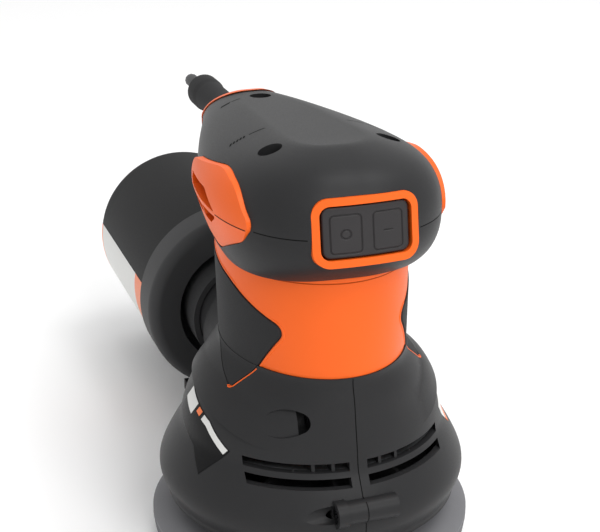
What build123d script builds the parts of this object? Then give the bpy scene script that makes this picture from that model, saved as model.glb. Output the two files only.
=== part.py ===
from build123d import *
import math
import os

# Random orbital palm sander, millimetres. The motor axis is Z, the switch faces -Y,
# the dust canister and the cord leave towards +Y, and the floor is z = 0.

# Sanding pad
PAD_R = 62.5
HOOK_T = 1.6
FOAM_T = 7.4
PLATE_T = 3.0
PAD_CROWN = 5.0
FOAM_BEVEL = 1.8
PAD_DISH_R = 27.0
DUST_HOLES = 8
DUST_PCD = 65.0
DUST_HOLE_R = 4.5
ORBIT = 1.2
PAD_SCREWS = 3
PAD_SCREW_PCD = 26.0
PAD_SCREW_R = 2.0

# Skirt: the wide lower housing, split left and right at X = 0
SKIRT_Z0 = 21.0
SKIRT_TOP = 84.0
SKIRT_R = 59.3
SKIRT_WAIST_R = 51.0
SKIRT_WAIST_Z = 50.0
SHOULDER_X = 34.6
SHOULDER_Y = 44.6
SHOULDER_EASE = 1.35
FLARE_R = 3.4
FLARE_H = 6.0
WALL = 2.5
RIM_IN = 2.8
SEAL_GAP = 1.2
SEAL_T = 4.0
WING_STEPS = [(-6.0, 2.5, 30.0), (0.0, 2.5, 30.0), (7.5, 2.5, 30.0), (14.0, 2.5, 30.0), (20.0, 2.4, 30.0),
              (25.0, 1.0, 37.2)]
WING_END = (28.0, -0.9, -15.7)
WING_EDGE = [(-54, 55.5), (-38.7, 57.5), (-25.1, 61.7), (-8.8, 66.3), (8, 69), (24, 68.3), (40, 63.5),
             (54, 55)]
SLOT_H = 3.3
SLOT_Z = (45.0, 50.3)
SLOT_X0 = 3.4
SLOT_X1 = 38.2
BOSS_R = 4.4
BOSS_Z = 37.4
BOSS_X = (-11.5, 12.0)
BOSS_LIP = 0.7
REAR_BOSS_Z = 30.0
TUNNEL_R = 5.2
TUNNEL_END = -18.0
RIB_SUNK = 1.2
TUNNEL_Y = -39.5
TUNNEL_Z = 67.5

# Neck: the motor housing inside the palm grip
NECK_X = 35.2
NECK_Y = 42.3
NECK_FOOT_X = 33.9
NECK_FOOT_Y = 44.0
NECK_WALL = 2.6
NECK_TAIL = 8.0
GRIP_T = 1.5
GRIP_PROUD = 0.5
GRIP_TIP_Y = -32.5
GRIP_TIP_Z = 101.5
TAB_TIP_Y = -17.6
TAB_TIP_Z = 74.4
TAB_END_Y = 9.0

# Head: the top cover and the bowl below it
PART_Z = 141.0
BOWL_Z = 122.0
CROWN_Z = 165.6
CROWN_FALL = 0.06
HEAD_W = 40.5
HEAD_NOSE = 51.0
WIDEST_Y = -5.0
TAPER = 0.335
TAPER_BLEND = 26.0
TAIL_Y = 100.0
TAIL_TIP = 12.0
SPINE_Y = (-16.0, 50.0)
PLAN_POWER = 2.6
DOME_POWER = 2.5
BOWL_POWER = 2.4
BOWL_DRAW = (0.12, 0.31)
HEAD_WALL = 2.4
REAR_Y = 103.0
REAR_TOP_Y = 73.0
REAR_TOP_Z = 159.0
COLLAR_T = 3.0
COLLAR_PROUD = 0.5
UNDER_Y = 46.0
UNDER_RISE = 11.0

# Switch in the nose
FRAME_W = 38.2
FRAME_H = 23.6
FRAME_BAND = 2.6
FRAME_CORNER = 6.0
FRAME_PROUD = 1.6
FRAME_DEPTH = 6.0
FRAME_Z = 143.3
FRAME_Y = -54.2
FRAME_LEAN = 9.0
NOSE_R = 69.0
ROCKER_GAP = 1.0
ROCKER_GAP_Z = 0.5
ROCKER_SUNK = 1.4
ROCKER_T = 3.0
ROCKER_CORNER = 2.6
PIVOT_R = 1.3
PIVOT_DEPTH = 5.2
PIVOT_HALF = 7.0
SWITCH_DEPTH = 7.3
SWITCH_BOX = (24.0, 17.0, 14.0)

# Side air inlets
VENT_PROUD = 1.2
VENT_TURN = 1.5
VENT_PIVOT = (-36.0, -36.0)
VENT_DRAW = (0.16, 0.12)
VENT_OUTLINE = [(28, 8), (-13, 15.9), (-28.5, 12.6), (-38.6, 2.4), (-33, -5), (-9, -15.4), (10, -12)]
VENT_RADII = [4.0, 30.0, 20.0, 4.0, 10.0, 14.0, 16.0]
VENT_WINDOW = [(22, 5), (-5, 6.4), (-16.8, 1), (-15, -2.2), (-8, -5.9), (10, -5)]
VENT_WINDOW_RADII = [1.5, 8.0, 1.6, 1.5, 3.0, 3.0]
VENT_BAR = 0.9
VENT_POST = (-0.7, 0.7)
VENT_GAP = 0.25

# Motor and drive train
SHAFT_R = 4.0
SHAFT_Z = (29.0, 127.0)
STATOR_R = 29.0
STATOR_BORE = 18.8
STATOR_Z = (70.0, 100.0)
ARMATURE_R = 18.2
COIL_END = 6.0
COMM_R = 10.0
COMM_Z = (109.5, 117.5)
COMM_BARS = 16
BRUSH = (5.0, 6.0, 12.0)
BEARING_R = 11.0
BEARING_T = 7.0
LOWER_BEARING_Z = 48.0
UPPER_BEARING_Z = 119.5
PAD_BEARING_R = 14.0
PAD_BEARING_T = 8.0
PAD_BEARING_BORE = 6.0
FAN_R = 46.0
FAN_Z = 30.5
FAN_T = 2.2
FAN_BLADE_H = 9.0
FAN_BLADES = 11
FAN_HUB_R = 17.5
CARRIER_T = 2.5

# Dust path and canister
DUCT_R = 22.0
DUCT_T = 2.4
DUCT_Z = 57.0
DUCT_Y = (50.0, 98.0)
CAN_R = 40.0
CAN_T = 2.2
CAN_Y = (104.0, 206.0)
CAN_ROUND = 9.0
CAP_R = 41.5
CAP_Y0 = 91.0
CAP_T = 2.4
CAP_LAP = 6.0
CAP_ROUND = 5.0
CAP_RECESS_R = 28.0
SEAL_RING_T = 2.5
SOCKET_T = 2.4
SOCKET_Y0 = 80.0
FILTER_R = 26.0
FILTER_FOLDS = 20
FILTER_L = 56.0
LATCH_X = 20.0

# Cord
CORD_R = 3.1
CORD_Z = 142.0
BOOT_R = 6.9
BOOT_TIP_R = 7.6
BOOT_Y = (92.0, 147.0)
COIL_X = 57.4
COIL_Y = 169.0
COIL_STEP = 6.8
COIL_START_R = 41.8
COIL_IN = 5
COIL_OUT = 6
COIL_EXIT_R = 48.6
COIL_EXIT_TURN = 65.0
COIL_LIFT = 1.2
TIE_T = 0.8
TIE_W = 8.0
PLUG_W = 35.0
PLUG_T = 14.0
PLUG_L = 34.0
PLUG_LEVEL_RUN = 12.0
PLUG_RISE_RUN = 20.0
SLEEVE_L = 16.0
PIN_R = 2.4
PIN_L = 19.0
PIN_SPACING = 19.0

# Clearances
FIT = 0.1
RUN = 0.05
LOOSE = 0.3
SLIDE = 0.4


def rod(r, z0, z1, x=0.0, y=0.0):
    """Round bar along Z."""
    return Pos(x, y, (z0 + z1) / 2) * Cylinder(r, z1 - z0)


def tube(r, bore, z0, z1, x=0.0, y=0.0):
    """Round tube along Z."""
    return rod(r, z0, z1, x, y) - rod(bore, z0 - 1, z1 + 1, x, y)


def rod_x(r, x0, x1, y, z):
    """Round bar along X."""
    return Pos((x0 + x1) / 2, y, z) * Rot(0, 90, 0) * Cylinder(r, x1 - x0)


def rod_y(r, y0, y1, x, z):
    """Round bar along Y."""
    return Pos(x, (y0 + y1) / 2, z) * Rot(90, 0, 0) * Cylinder(r, y1 - y0)


def tube_y(r, bore, y0, y1, x, z):
    """Round tube along Y."""
    return rod_y(r, y0, y1, x, z) - rod_y(bore, y0 - 1, y1 + 1, x, z)


def block(x0, x1, y0, y1, z0, z1):
    """Box between two corners."""
    return Pos((x0 + x1) / 2, (y0 + y1) / 2, (z0 + z1) / 2) * Box(x1 - x0, y1 - y0, z1 - z0)


def polar(count, r, start=0.0):
    """Evenly spaced points on a circle."""
    step = 360.0 / count
    return [(r * math.cos(math.radians(start + i * step)), r * math.sin(math.radians(start + i * step)))
            for i in range(count)]


def oval_stack(sections):
    """Smooth solid through level ovals, each (z, half width in X, half width in Y)."""
    wires = [Wire([(Pos(0, 0, z) * Ellipse(a, b)).edge()]) if a >= b
             else Wire([(Pos(0, 0, z) * Rot(0, 0, 90) * Ellipse(b, a)).edge()])
             for z, a, b in sections]
    return Solid.make_loft(wires)


def side_prism(points, x0, x1):
    """Prism along X of a closed side-view outline of (y, z) points."""
    face = make_face(Polyline(*[(x0, y, z) for y, z in points], close=True))
    return extrude(face, x1 - x0, dir=(1, 0, 0))


def side_spline_prism(points, x0, x1):
    """Prism along X of a closed smooth side-view outline of (y, z) points."""
    face = make_face(Spline(*[(x0, y, z) for y, z in points], periodic=True))
    return extrude(face, x1 - x0, dir=(1, 0, 0))


def save(name, shape):
    """Write one piece."""
    export_step(shape, f"parts/{name}.step")


# Head surface: a plan outline drawn in towards a spine as it rises to the crown
def plan_half_width(y, inset):
    """Half width of the head at its parting line: a superellipse nose, then a straight taper."""
    if y <= WIDEST_Y:
        reach = min(1.0, (WIDEST_Y - y) / (HEAD_NOSE - inset))
        return (HEAD_W - inset) * (1 - reach ** PLAN_POWER) ** (1 / PLAN_POWER)
    run = y - WIDEST_Y
    return HEAD_W - inset - TAPER * (math.hypot(run, TAPER_BLEND) - TAPER_BLEND)


def plan_points(inset):
    """Points on the right half of the head's outline, nose to tail."""
    nose = HEAD_NOSE - inset
    front = [WIDEST_Y - nose * math.cos(math.radians(t)) ** (2 / PLAN_POWER) for t in (0, 22, 44, 68)]
    rear_steps = 3
    rear = [WIDEST_Y + (TAIL_Y - WIDEST_Y) * i / rear_steps for i in range(rear_steps + 1)]
    points = [(plan_half_width(y, inset), y) for y in front + rear]
    end = plan_half_width(TAIL_Y, inset)
    tip = TAIL_TIP - inset
    points.append((end * 0.75, TAIL_Y + tip * 0.66))
    points.append((0.0, TAIL_Y + tip))
    return points


def crown_height(y, inset):
    """Height of the head's ridge, which falls slowly to the tail and then rolls over."""
    roll = max(0.0, y - REAR_TOP_Y)
    return CROWN_Z - inset - CROWN_FALL * (y - SPINE_Y[0]) - 0.0055 * roll ** 2


def drawn_in(points, share_x, share_y):
    """Outline points drawn in towards the spine."""
    moved = []
    for x, y in points:
        root = min(max(y, SPINE_Y[0]), SPINE_Y[1])
        moved.append((x * share_x, root + (y - root) * share_y))
    return moved


def closed_ring(half, height):
    """Closed smooth wire from a half outline and a height for each y."""
    right = [(x, y, height(y)) for x, y in half]
    left = [(-x, y, height(y)) for x, y in half[-2:0:-1]]
    return Wire([Spline(*right, *left, periodic=True)])


def head_dome(inset=0.0):
    """Upper head above the parting line."""
    rings = []
    for rise in (0.0, 0.3, 0.55, 0.76, 0.91, 0.98):
        share = (1 - rise ** DOME_POWER) ** (1 / DOME_POWER)
        half = drawn_in(plan_points(inset), share, share)
        rings.append(closed_ring(half, lambda y: PART_Z + (crown_height(y, inset) - PART_Z) * rise))
    return Solid.make_loft(rings)


def head_bowl(inset=0.0, draw=BOWL_DRAW, power=BOWL_POWER):
    """Lower head, from the parting line down to the neck."""
    depth = PART_Z - BOWL_Z
    rings = []
    for fall in (0.0, 0.4, 0.7, 0.9, 1.0):
        pull = fall ** power
        half = drawn_in(plan_points(inset), 1 - draw[0] * pull, 1 - draw[1] * pull)
        rings.append(closed_ring(half, lambda y: PART_Z - (depth - inset) * fall))
    solid = Solid.make_loft(rings)
    low = BOWL_Z - 5
    level = BOWL_Z + inset
    far = REAR_Y + 12
    under = [(UNDER_Y, low), (UNDER_Y, level), (far, level + UNDER_RISE), (far, low)]
    return solid - side_prism(under, -60, 60)


def rear_cut(shift):
    """Everything behind the slanted rear end of the head, moved back by shift."""
    slope = (REAR_Y - REAR_TOP_Y) / (REAR_TOP_Z - PART_Z)
    low = REAR_Y + shift
    high = low - slope * (CROWN_Z + 20 - PART_Z)
    points = [(low, PART_Z - 60), (low, PART_Z), (high, CROWN_Z + 20), (REAR_Y + 60, CROWN_Z + 20),
              (REAR_Y + 60, PART_Z - 60)]
    return side_prism(points, -60, 60)


def front_tilted(shape):
    """Lean a piece of the switch back with the nose."""
    centre = Pos(0, FRAME_Y, FRAME_Z)
    return centre * Rot(-FRAME_LEAN, 0, 0) * centre.inverse() * shape


def nose_skin(depth_out, depth_in):
    """Upright round skin of the nose between two depths, measured out from its face."""
    centre_y = FRAME_Y + NOSE_R
    z0 = FRAME_Z - FRAME_H
    z1 = FRAME_Z + FRAME_H
    return rod(NOSE_R + depth_out, z0, z1, 0, centre_y) - rod(NOSE_R + depth_in, z0 - 1, z1 + 1, 0, centre_y)


def nose_prism(width, height, corner):
    """Rounded rectangle carried along Y through the nose."""
    plane = Plane(origin=(0, FRAME_Y - 12, FRAME_Z), x_dir=(1, 0, 0), z_dir=(0, 1, 0))
    return extrude(plane * RectangleRounded(width, height, corner), 24)


def skirt_half(z):
    """Half widths in X and Y of the lower housing above its waist."""
    share = (z - SKIRT_WAIST_Z) / (SKIRT_TOP - SKIRT_WAIST_Z)
    half_x = SKIRT_WAIST_R + (SHOULDER_X - SKIRT_WAIST_R) * share ** SHOULDER_EASE
    half_y = SKIRT_WAIST_R + (SHOULDER_Y - SKIRT_WAIST_R) * share
    return half_x, half_y


def skirt_sections(grow):
    """Ovals of the lower housing from its rim to its shoulder, grown outwards."""
    rim = [(0.0, -RIM_IN), (7.0, -0.5), (12.0, 0.0), (18.0, -2.2)]
    low = [(SKIRT_Z0 + dz, SKIRT_R + dr + grow, SKIRT_R + dr + grow) for dz, dr in rim]
    low.append((SKIRT_WAIST_Z - FLARE_H, SKIRT_WAIST_R + FLARE_R + grow, SKIRT_WAIST_R + FLARE_R + grow))
    high = []
    for share in (0.0, 0.18, 0.36, 0.54, 0.74, 1.0):
        z = SKIRT_WAIST_Z + (SKIRT_TOP - SKIRT_WAIST_Z) * share
        half_x, half_y = skirt_half(z)
        high.append((z, half_x + grow, half_y + grow))
    return low + high


def wing_sections():
    """Ovals of the raised shoulders: wider than the housing, and crossing its own oval at a crest."""
    sections = []
    for rise, raised, crest in WING_STEPS:
        z = SKIRT_WAIST_Z + rise
        half_x, half_y = skirt_half(z) if rise > 0 else (SKIRT_WAIST_R - rise * FLARE_R / FLARE_H,) * 2
        across = half_y * math.sqrt(1 - (crest / half_x) ** 2)
        wide = half_x + raised
        sections.append((z, wide, across / math.sqrt(1 - (crest / wide) ** 2)))
    rise, raised, drawn = WING_END
    half_x, half_y = skirt_half(SKIRT_WAIST_Z + rise)
    sections.append((SKIRT_WAIST_Z + rise, half_x + raised, half_y + drawn))
    return sections


def neck_solid(grow, z0, z1):
    """Palm grip as an oval taper, grown outwards."""
    sections = []
    for z in (z0, z1):
        share = (z - SKIRT_TOP) / (BOWL_Z - SKIRT_TOP)
        half_x = NECK_FOOT_X + (NECK_X - NECK_FOOT_X) * share + grow
        half_y = NECK_FOOT_Y + (NECK_Y - NECK_FOOT_Y) * share + grow
        sections.append((z, half_x, half_y))
    return oval_stack(sections)


def shoulder_solid(grow, z0, z1):
    """Upper part of the lower housing, grown outwards."""
    return oval_stack(skirt_sections(grow)) & block(-70, 70, -70, 70, z0, z1)


def oval_prism(half_x, half_y, z0, z1):
    """Straight oval bar along Z."""
    return oval_stack([(z0, half_x, half_y), (z1, half_x, half_y)])


def grip_prism(grow, x0, x1):
    """Side outline of one rubber grip, pointing forward, with a tab over the shoulder, carried along X."""
    points = [(36, BOWL_Z + 2), (-8, 113), (GRIP_TIP_Y - 1.5, GRIP_TIP_Z - 0.5), (TAB_TIP_Y, TAB_TIP_Z),
              (TAB_END_Y, SKIRT_TOP), (60, SKIRT_TOP), (60, BOWL_Z + 2)]
    radii = [1.0, 40.0, 4.0, 1.2, 8.0, 1.0, 1.0]
    outline = FilletPolyline(*[(x0, y, z) for y, z in points], radius=radii, close=True)
    face = make_face(outline)
    if grow:
        face = offset(face, grow)
    return extrude(face, x1 - x0, dir=(1, 0, 0))


def wing_prism(x0, x1):
    """Side outline of the raised shoulder above the label band."""
    top = SKIRT_TOP + 2
    lower = Spline(*[(x0, y, z) for y, z in WING_EDGE])
    front, front_z = WING_EDGE[0]
    rear, rear_z = WING_EDGE[-1]
    rest = Polyline((x0, rear, rear_z), (x0, rear, top), (x0, front, top), (x0, front, front_z))
    return extrude(make_face([lower, rest]), x1 - x0, dir=(1, 0, 0))


def parting_prism(outline, radii, grow, x0, x1):
    """Rounded side outline, its heights measured from the parting line of the head, carried along X."""
    points = [(x0, y, PART_Z + rise) for y, rise in outline]
    face = make_face(FilletPolyline(*points, radius=radii, close=True))
    if grow:
        face = offset(face, grow)
    return extrude(face, x1 - x0, dir=(1, 0, 0))


def vent_prism(grow, x0, x1):
    """Outline of a side air inlet."""
    return parting_prism(VENT_OUTLINE, VENT_RADII, grow, x0, x1)


def vent_turned(shape):
    """Turn a skin outwards towards the rear, about the front end of the left air inlet."""
    pivot = Pos(*VENT_PIVOT, 0)
    return pivot * Rot(0, 0, VENT_TURN) * pivot.inverse() * shape


def screw(head_r, head_h, shank_r, length):
    """Pan-head screw along -Z with its head's underside at the origin and a cross recess."""
    body = rod(head_r, 0, head_h) + rod(shank_r, -length, 0)
    arm = head_r * 0.62
    half = 0.4
    z0 = head_h - 0.9
    z1 = head_h + 1
    return body - block(-arm, arm, -half, half, z0, z1) - block(-half, half, -arm, arm, z0, z1)


def join(shapes):
    """Group of separate solids in one node."""
    return Compound(children=list(shapes))


# Sanding pad, on its own axis one orbit behind the motor axis
FOAM_Z = HOOK_T + FOAM_T
PLATE_Z = FOAM_Z + PLATE_T
PAD_TOP = PLATE_Z + PAD_CROWN
SCREW_HOLE_R = PAD_SCREW_R + FIT
PAD_BORE_R = PAD_SCREW_PCD / 2 + 2 * PAD_SCREW_R + 3.0
on_pad = Pos(0, ORBIT, 0)


def dust_holes(z0, z1):
    """Ring of dust holes through the pad."""
    return [rod(DUST_HOLE_R, z0, z1, x, y) for x, y in polar(DUST_HOLES, DUST_PCD / 2, 22.5)]


def screw_holes(z0, z1):
    """Ring of screw holes through the pad's middle."""
    return [rod(SCREW_HOLE_R, z0, z1, x, y) for x, y in polar(PAD_SCREWS, PAD_SCREW_PCD / 2, 90)]


def turned(outline):
    """Solid turned about Z from (radius, height) points."""
    return revolve(make_face(Polyline(*[(r, 0, z) for r, z in outline], close=True)), Axis.Z)


def pad_hook_face():
    return on_pad * (tube(PAD_R - FOAM_BEVEL, PAD_BORE_R, 0, HOOK_T) - dust_holes(-1, HOOK_T + 1))


def pad_foam():
    outline = [(PAD_BORE_R, HOOK_T), (PAD_R - FOAM_BEVEL, HOOK_T), (PAD_R - 0.5, HOOK_T + 2.4),
               (PAD_R, FOAM_Z - 1.6), (PAD_R, FOAM_Z), (PAD_BORE_R, FOAM_Z)]
    return on_pad * (turned(outline) - dust_holes(0, FOAM_Z + 1))


def pad_plate():
    outline = [(0, FOAM_Z), (PAD_R, FOAM_Z), (PAD_R, FOAM_Z + 1.2), (PAD_R - 2.2, PLATE_Z),
               (PAD_R - 18, PAD_TOP - 0.4), (PAD_DISH_R + 6, PAD_TOP), (PAD_DISH_R, PAD_TOP),
               (PAD_DISH_R, PLATE_Z), (0, PLATE_Z)]
    return on_pad * (turned(outline) - dust_holes(FOAM_Z - 1, PAD_TOP + 1) - screw_holes(FOAM_Z - 1, PLATE_Z + 1))


FAN_HUB_Z0 = PAD_TOP + 1.5
PAD_BEARING_Z = FAN_HUB_Z0 + 0.5
FLANGE_R = PAD_SCREW_PCD / 2 + PAD_SCREW_R + 3.0


def pad_spindle():
    body = rod(FLANGE_R, PLATE_Z, PAD_TOP) + rod(PAD_BEARING_BORE + 2, PAD_TOP, PAD_BEARING_Z - 0.1)
    body += rod(PAD_BEARING_BORE - RUN, PAD_BEARING_Z - 0.1, PAD_BEARING_Z + PAD_BEARING_T + 0.4)
    return on_pad * (body - screw_holes(PLATE_Z - 1, PAD_TOP + 1))


def pad_screws():
    one = Rot(180, 0, 0) * screw(PAD_SCREW_R * 1.9, 2.4, PAD_SCREW_R, PAD_TOP - FOAM_Z - 0.5)
    return join(on_pad * Pos(x, y, FOAM_Z) * one for x, y in polar(PAD_SCREWS, PAD_SCREW_PCD / 2, 90))


def pad_bearing():
    z1 = PAD_BEARING_Z + PAD_BEARING_T
    ring = tube(PAD_BEARING_R, PAD_BEARING_BORE, PAD_BEARING_Z, z1)
    groove = tube(PAD_BEARING_R - 2.4, PAD_BEARING_BORE + 2.4, z1 - 0.6, z1 + 1)
    return on_pad * (ring - groove)


# Fan with its counterweight, on the motor shaft
FAN_TOP = FAN_Z + FAN_T + FAN_BLADE_H


def fan():
    hub = rod(FAN_HUB_R, FAN_HUB_Z0, FAN_TOP)
    disc = rod(FAN_R, FAN_Z, FAN_Z + FAN_T)
    blade = block(FAN_HUB_R - 1, FAN_R, -0.8, 0.8, FAN_Z, FAN_TOP)
    blades = [Rot(0, 0, 360 / FAN_BLADES * i) * blade for i in range(FAN_BLADES)]
    weight = tube(FAN_R - 9, FAN_HUB_R - 1, FAN_Z - 5.5, FAN_Z + 0.5) & block(-30, 30, -60, -8, 0, 60)
    pocket = on_pad * rod(PAD_BEARING_R + RUN, FAN_HUB_Z0 - 1, PAD_BEARING_Z + PAD_BEARING_T + 0.2)
    relief = on_pad * rod(PAD_BEARING_BORE + 2, FAN_HUB_Z0, PAD_BEARING_Z + PAD_BEARING_T + 1.0)
    return hub + disc + blades + weight - pocket - relief - rod(SHAFT_R + RUN, SHAFT_Z[0] - 0.2, FAN_TOP + 1)


def motor_shaft():
    flat = block(-10, 10, SHAFT_R - 0.8, 10, SHAFT_Z[0] - 1, SHAFT_Z[0] + 8)
    return rod(SHAFT_R, *SHAFT_Z) - flat


def armature_core():
    z0, z1 = STATOR_Z
    slots = [rod(1.7, z0 - 1, z1 + 1, x, y) for x, y in polar(12, ARMATURE_R - 2.6)]
    mouth = block(ARMATURE_R - 2, ARMATURE_R + 1, -0.6, 0.6, z0 - 1, z1 + 1)
    mouths = [Rot(0, 0, 30 * i) * mouth for i in range(12)]
    return tube(ARMATURE_R, SHAFT_R + RUN, z0, z1) - slots - mouths


def armature_windings():
    z0, z1 = STATOR_Z
    lower = tube(ARMATURE_R - 2.6, SHAFT_R + 1.5, z0 - COIL_END, z0)
    upper = tube(ARMATURE_R - 2.6, SHAFT_R + 1.5, z1, z1 + COIL_END)
    return join([fillet(lower.edges().filter_by(GeomType.CIRCLE).group_by(Axis.Z)[0], 1.8),
                 fillet(upper.edges().filter_by(GeomType.CIRCLE).group_by(Axis.Z)[-1], 1.8)])


def commutator():
    z0, z1 = COMM_Z
    bar = block(COMM_R - 1.2, COMM_R + 1, -0.25, 0.25, z0 + 1.5, z1 + 1)
    gaps = [Rot(0, 0, 360 / COMM_BARS * i) * bar for i in range(COMM_BARS)]
    return tube(COMM_R, SHAFT_R + RUN, z0, z1) - gaps


# Fixed half of the motor
def stator_core():
    z0, z1 = STATOR_Z
    window = [block(-9, 9, *sorted((s * 15, s * 26.5)), z0 - 1, z1 + 1)
              for s in (1, -1)]
    return tube(STATOR_R, STATOR_BORE, z0, z1) - window


def field_coils():
    z0, z1 = STATOR_Z
    ring = tube(26.2, 19.6, z0 - COIL_END, z1 + COIL_END)
    legs = block(-8.7, 8.7, -40, 40, z0 - 1, z1 + 1)
    ends = block(-40, 40, -40, 40, z0 - COIL_END - 1, z0 - FIT)
    ends += block(-40, 40, -40, 40, z1 + FIT, z1 + COIL_END + 1)
    both = ring & (legs + ends)
    return join([both & block(-40, -0.2, -40, 40, 0, 200), both & block(0.2, 40, -40, 40, 0, 200)])


CARRIER_Z = STATOR_Z[1] + COIL_END + 0.6
BRUSH_Z = CARRIER_Z + CARRIER_T + 4.0
BRUSH_X0 = COMM_R + LOOSE
HOLDER_T = 0.8


def brush_carrier():
    half_x = NECK_FOOT_X - GRIP_T - NECK_WALL - LOOSE
    half_y = NECK_FOOT_Y - GRIP_T - NECK_WALL - LOOSE - 3.0
    plate = oval_prism(half_x, half_y, CARRIER_Z, CARRIER_Z + CARRIER_T)
    return plate - rod(COMM_R + 3, CARRIER_Z - 1, CARRIER_Z + CARRIER_T + 1)


def mirrored_x(shape):
    """A piece and its mirror image across X = 0."""
    return [shape, mirror(shape, Plane.YZ)]


def brush_holders():
    half_w = BRUSH[0] / 2 + FIT
    half_h = BRUSH[1] / 2 + FIT
    x0 = BRUSH_X0 + 2.0
    x1 = BRUSH_X0 + BRUSH[2] + 3.5
    z0 = CARRIER_Z + CARRIER_T
    shell = block(x0, x1, -half_w - HOLDER_T, half_w + HOLDER_T, z0, BRUSH_Z + half_h + HOLDER_T)
    hollow = block(x0 - 1, x1 - HOLDER_T, -half_w, half_w, BRUSH_Z - half_h, BRUSH_Z + half_h)
    return join(mirrored_x(shell - hollow))


def carbon_brushes():
    brush = block(BRUSH_X0, BRUSH_X0 + BRUSH[2], -BRUSH[0] / 2, BRUSH[0] / 2, BRUSH_Z - BRUSH[1] / 2,
                  BRUSH_Z + BRUSH[1] / 2)
    return join(mirrored_x(brush))


def brush_springs():
    x0 = BRUSH_X0 + BRUSH[2]
    x1 = x0 + 3.5 - HOLDER_T
    half_w = 1.6
    leaf = block(x0, x1, -half_w, half_w, BRUSH_Z - 0.3, BRUSH_Z + 0.3)
    foot = block(x0, x0 + 0.5, -half_w, half_w, BRUSH_Z - 2, BRUSH_Z + 2)
    return join(mirrored_x(leaf + foot))


def ball_bearing(z0):
    ring = tube(BEARING_R, SHAFT_R + RUN, z0, z0 + BEARING_T)
    groove = tube(BEARING_R - 2.0, SHAFT_R + 2.0, z0 + BEARING_T - 0.5, z0 + BEARING_T + 1)
    return ring - groove


def bearing_plate():
    z1 = SKIRT_WAIST_Z
    z0 = z1 - 3.0
    plate = rod(SKIRT_WAIST_R - WALL - LOOSE, z0, z1)
    seat = rod(BEARING_R + 3, LOWER_BEARING_Z - 1, LOWER_BEARING_Z + BEARING_T + 0.5)
    holes = [rod(4.5, z0 - 1, z1 + 1, x, y) for x, y in polar(10, 34.0)]
    bore = rod(BEARING_R + RUN, LOWER_BEARING_Z, LOWER_BEARING_Z + BEARING_T + 2)
    return plate + seat - bore - rod(BEARING_R - 3, 0, 100) - holes


# Housing
def skirt_shell():
    """Both halves of the lower housing as one shell, before the split."""
    outer = oval_stack(skirt_sections(0.0))
    wing_skin = oval_stack(wing_sections())
    wings = [wing_skin & wing_prism(-70, -20), wing_skin & wing_prism(20, 70)]
    inner_sections = skirt_sections(-WALL)
    inner_sections[0] = (SKIRT_Z0 - 1, inner_sections[0][1], inner_sections[0][2])
    inner_sections[-1] = (SKIRT_TOP - WALL, inner_sections[-1][1] + 1, inner_sections[-1][2])
    inner = oval_stack(inner_sections)
    collar = rod_y(DUCT_R + FIT + WALL, 40, DUCT_Y[0] + 16, 0, DUCT_Z)
    front_boss = rod_x(BOSS_R, *BOSS_X, -SKIRT_R + 2, BOSS_Z)
    front_boss += rod_x(BOSS_R + BOSS_LIP, BOSS_X[0], BOSS_X[0] + 4, -SKIRT_R + 2, BOSS_Z)
    rear_boss = rod_x(BOSS_R, *BOSS_X, SKIRT_R - 2, REAR_BOSS_Z)
    tunnel_boss = rod_x(TUNNEL_R + 1.4, -38, 13, TUNNEL_Y, TUNNEL_Z)
    tunnel = rod_x(TUNNEL_R, -40, TUNNEL_END, TUNNEL_Y, TUNNEL_Z)
    tunnel += Pos(TUNNEL_END, TUNNEL_Y, TUNNEL_Z) * Sphere(TUNNEL_R)
    shell = outer + collar - inner + front_boss + rear_boss + (tunnel_boss & outer) - tunnel
    for wing in wings:
        shell = shell + (wing - inner)
    rib_z = SLOT_Z[1]
    ribs = [block(x - 0.6, x + 0.6, -SKIRT_WAIST_R, -SKIRT_WAIST_R + 7, rib_z - 0.2, rib_z + SLOT_H + 0.2)
            for x in (-30, -23, -16, -9, 9, 16, 23, 30)]
    deep = oval_stack(skirt_sections(-RIB_SUNK))
    ribs = [rib & deep for rib in ribs]
    for z in SLOT_Z:
        for s in (-1, 1):
            low, high = sorted((s * SLOT_X0, s * SLOT_X1))
            shell -= block(low, high, -SKIRT_R, -20, z, z + SLOT_H)
    shell = shell + ribs
    shell -= rod_y(DUCT_R + FIT, 40, DUCT_Y[0] + 30, 0, DUCT_Z)
    inset = GRIP_T - FIT
    tail = oval_prism(NECK_FOOT_X - inset, NECK_FOOT_Y - inset, SKIRT_TOP - NECK_TAIL - FIT, SKIRT_TOP + 1)
    tab = shoulder_solid(4, TAB_TIP_Z - 2, SKIRT_TOP) - shoulder_solid(-GRIP_T, TAB_TIP_Z - 3, SKIRT_TOP)
    shell = shell - tail - (tab & grip_prism(LOOSE, -60, 60))
    for y, z in HOUSING_SCREWS:
        shell = shell - rod_x(1.7, BOSS_X[0] - 2, BOSS_X[1] - 2, y, z)
        shell = shell - rod_x(BOSS_R - 1.0, -70, BOSS_X[0] + 2.5, y, z)
    return shell - rod_x(1.7, TUNNEL_END, 11, TUNNEL_Y, TUNNEL_Z)


HOUSING_SCREWS = ((-SKIRT_R + 2, BOSS_Z), (SKIRT_R - 2, REAR_BOSS_Z))


def pad_seal():
    outer = SKIRT_R - RIM_IN - WALL - SEAL_GAP
    return tube(outer, outer - SEAL_T, PAD_TOP + LOOSE, SKIRT_Z0 + 3)


def housing_screws():
    one = Rot(0, -90, 0) * screw(3.0, 2.0, 1.6, 18)
    places = [(BOSS_X[0] + 2.5, y, z) for y, z in HOUSING_SCREWS]
    places.append((TUNNEL_END + TUNNEL_R - 1.0, TUNNEL_Y, TUNNEL_Z))
    return join(Pos(*p) * one for p in places)


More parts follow.
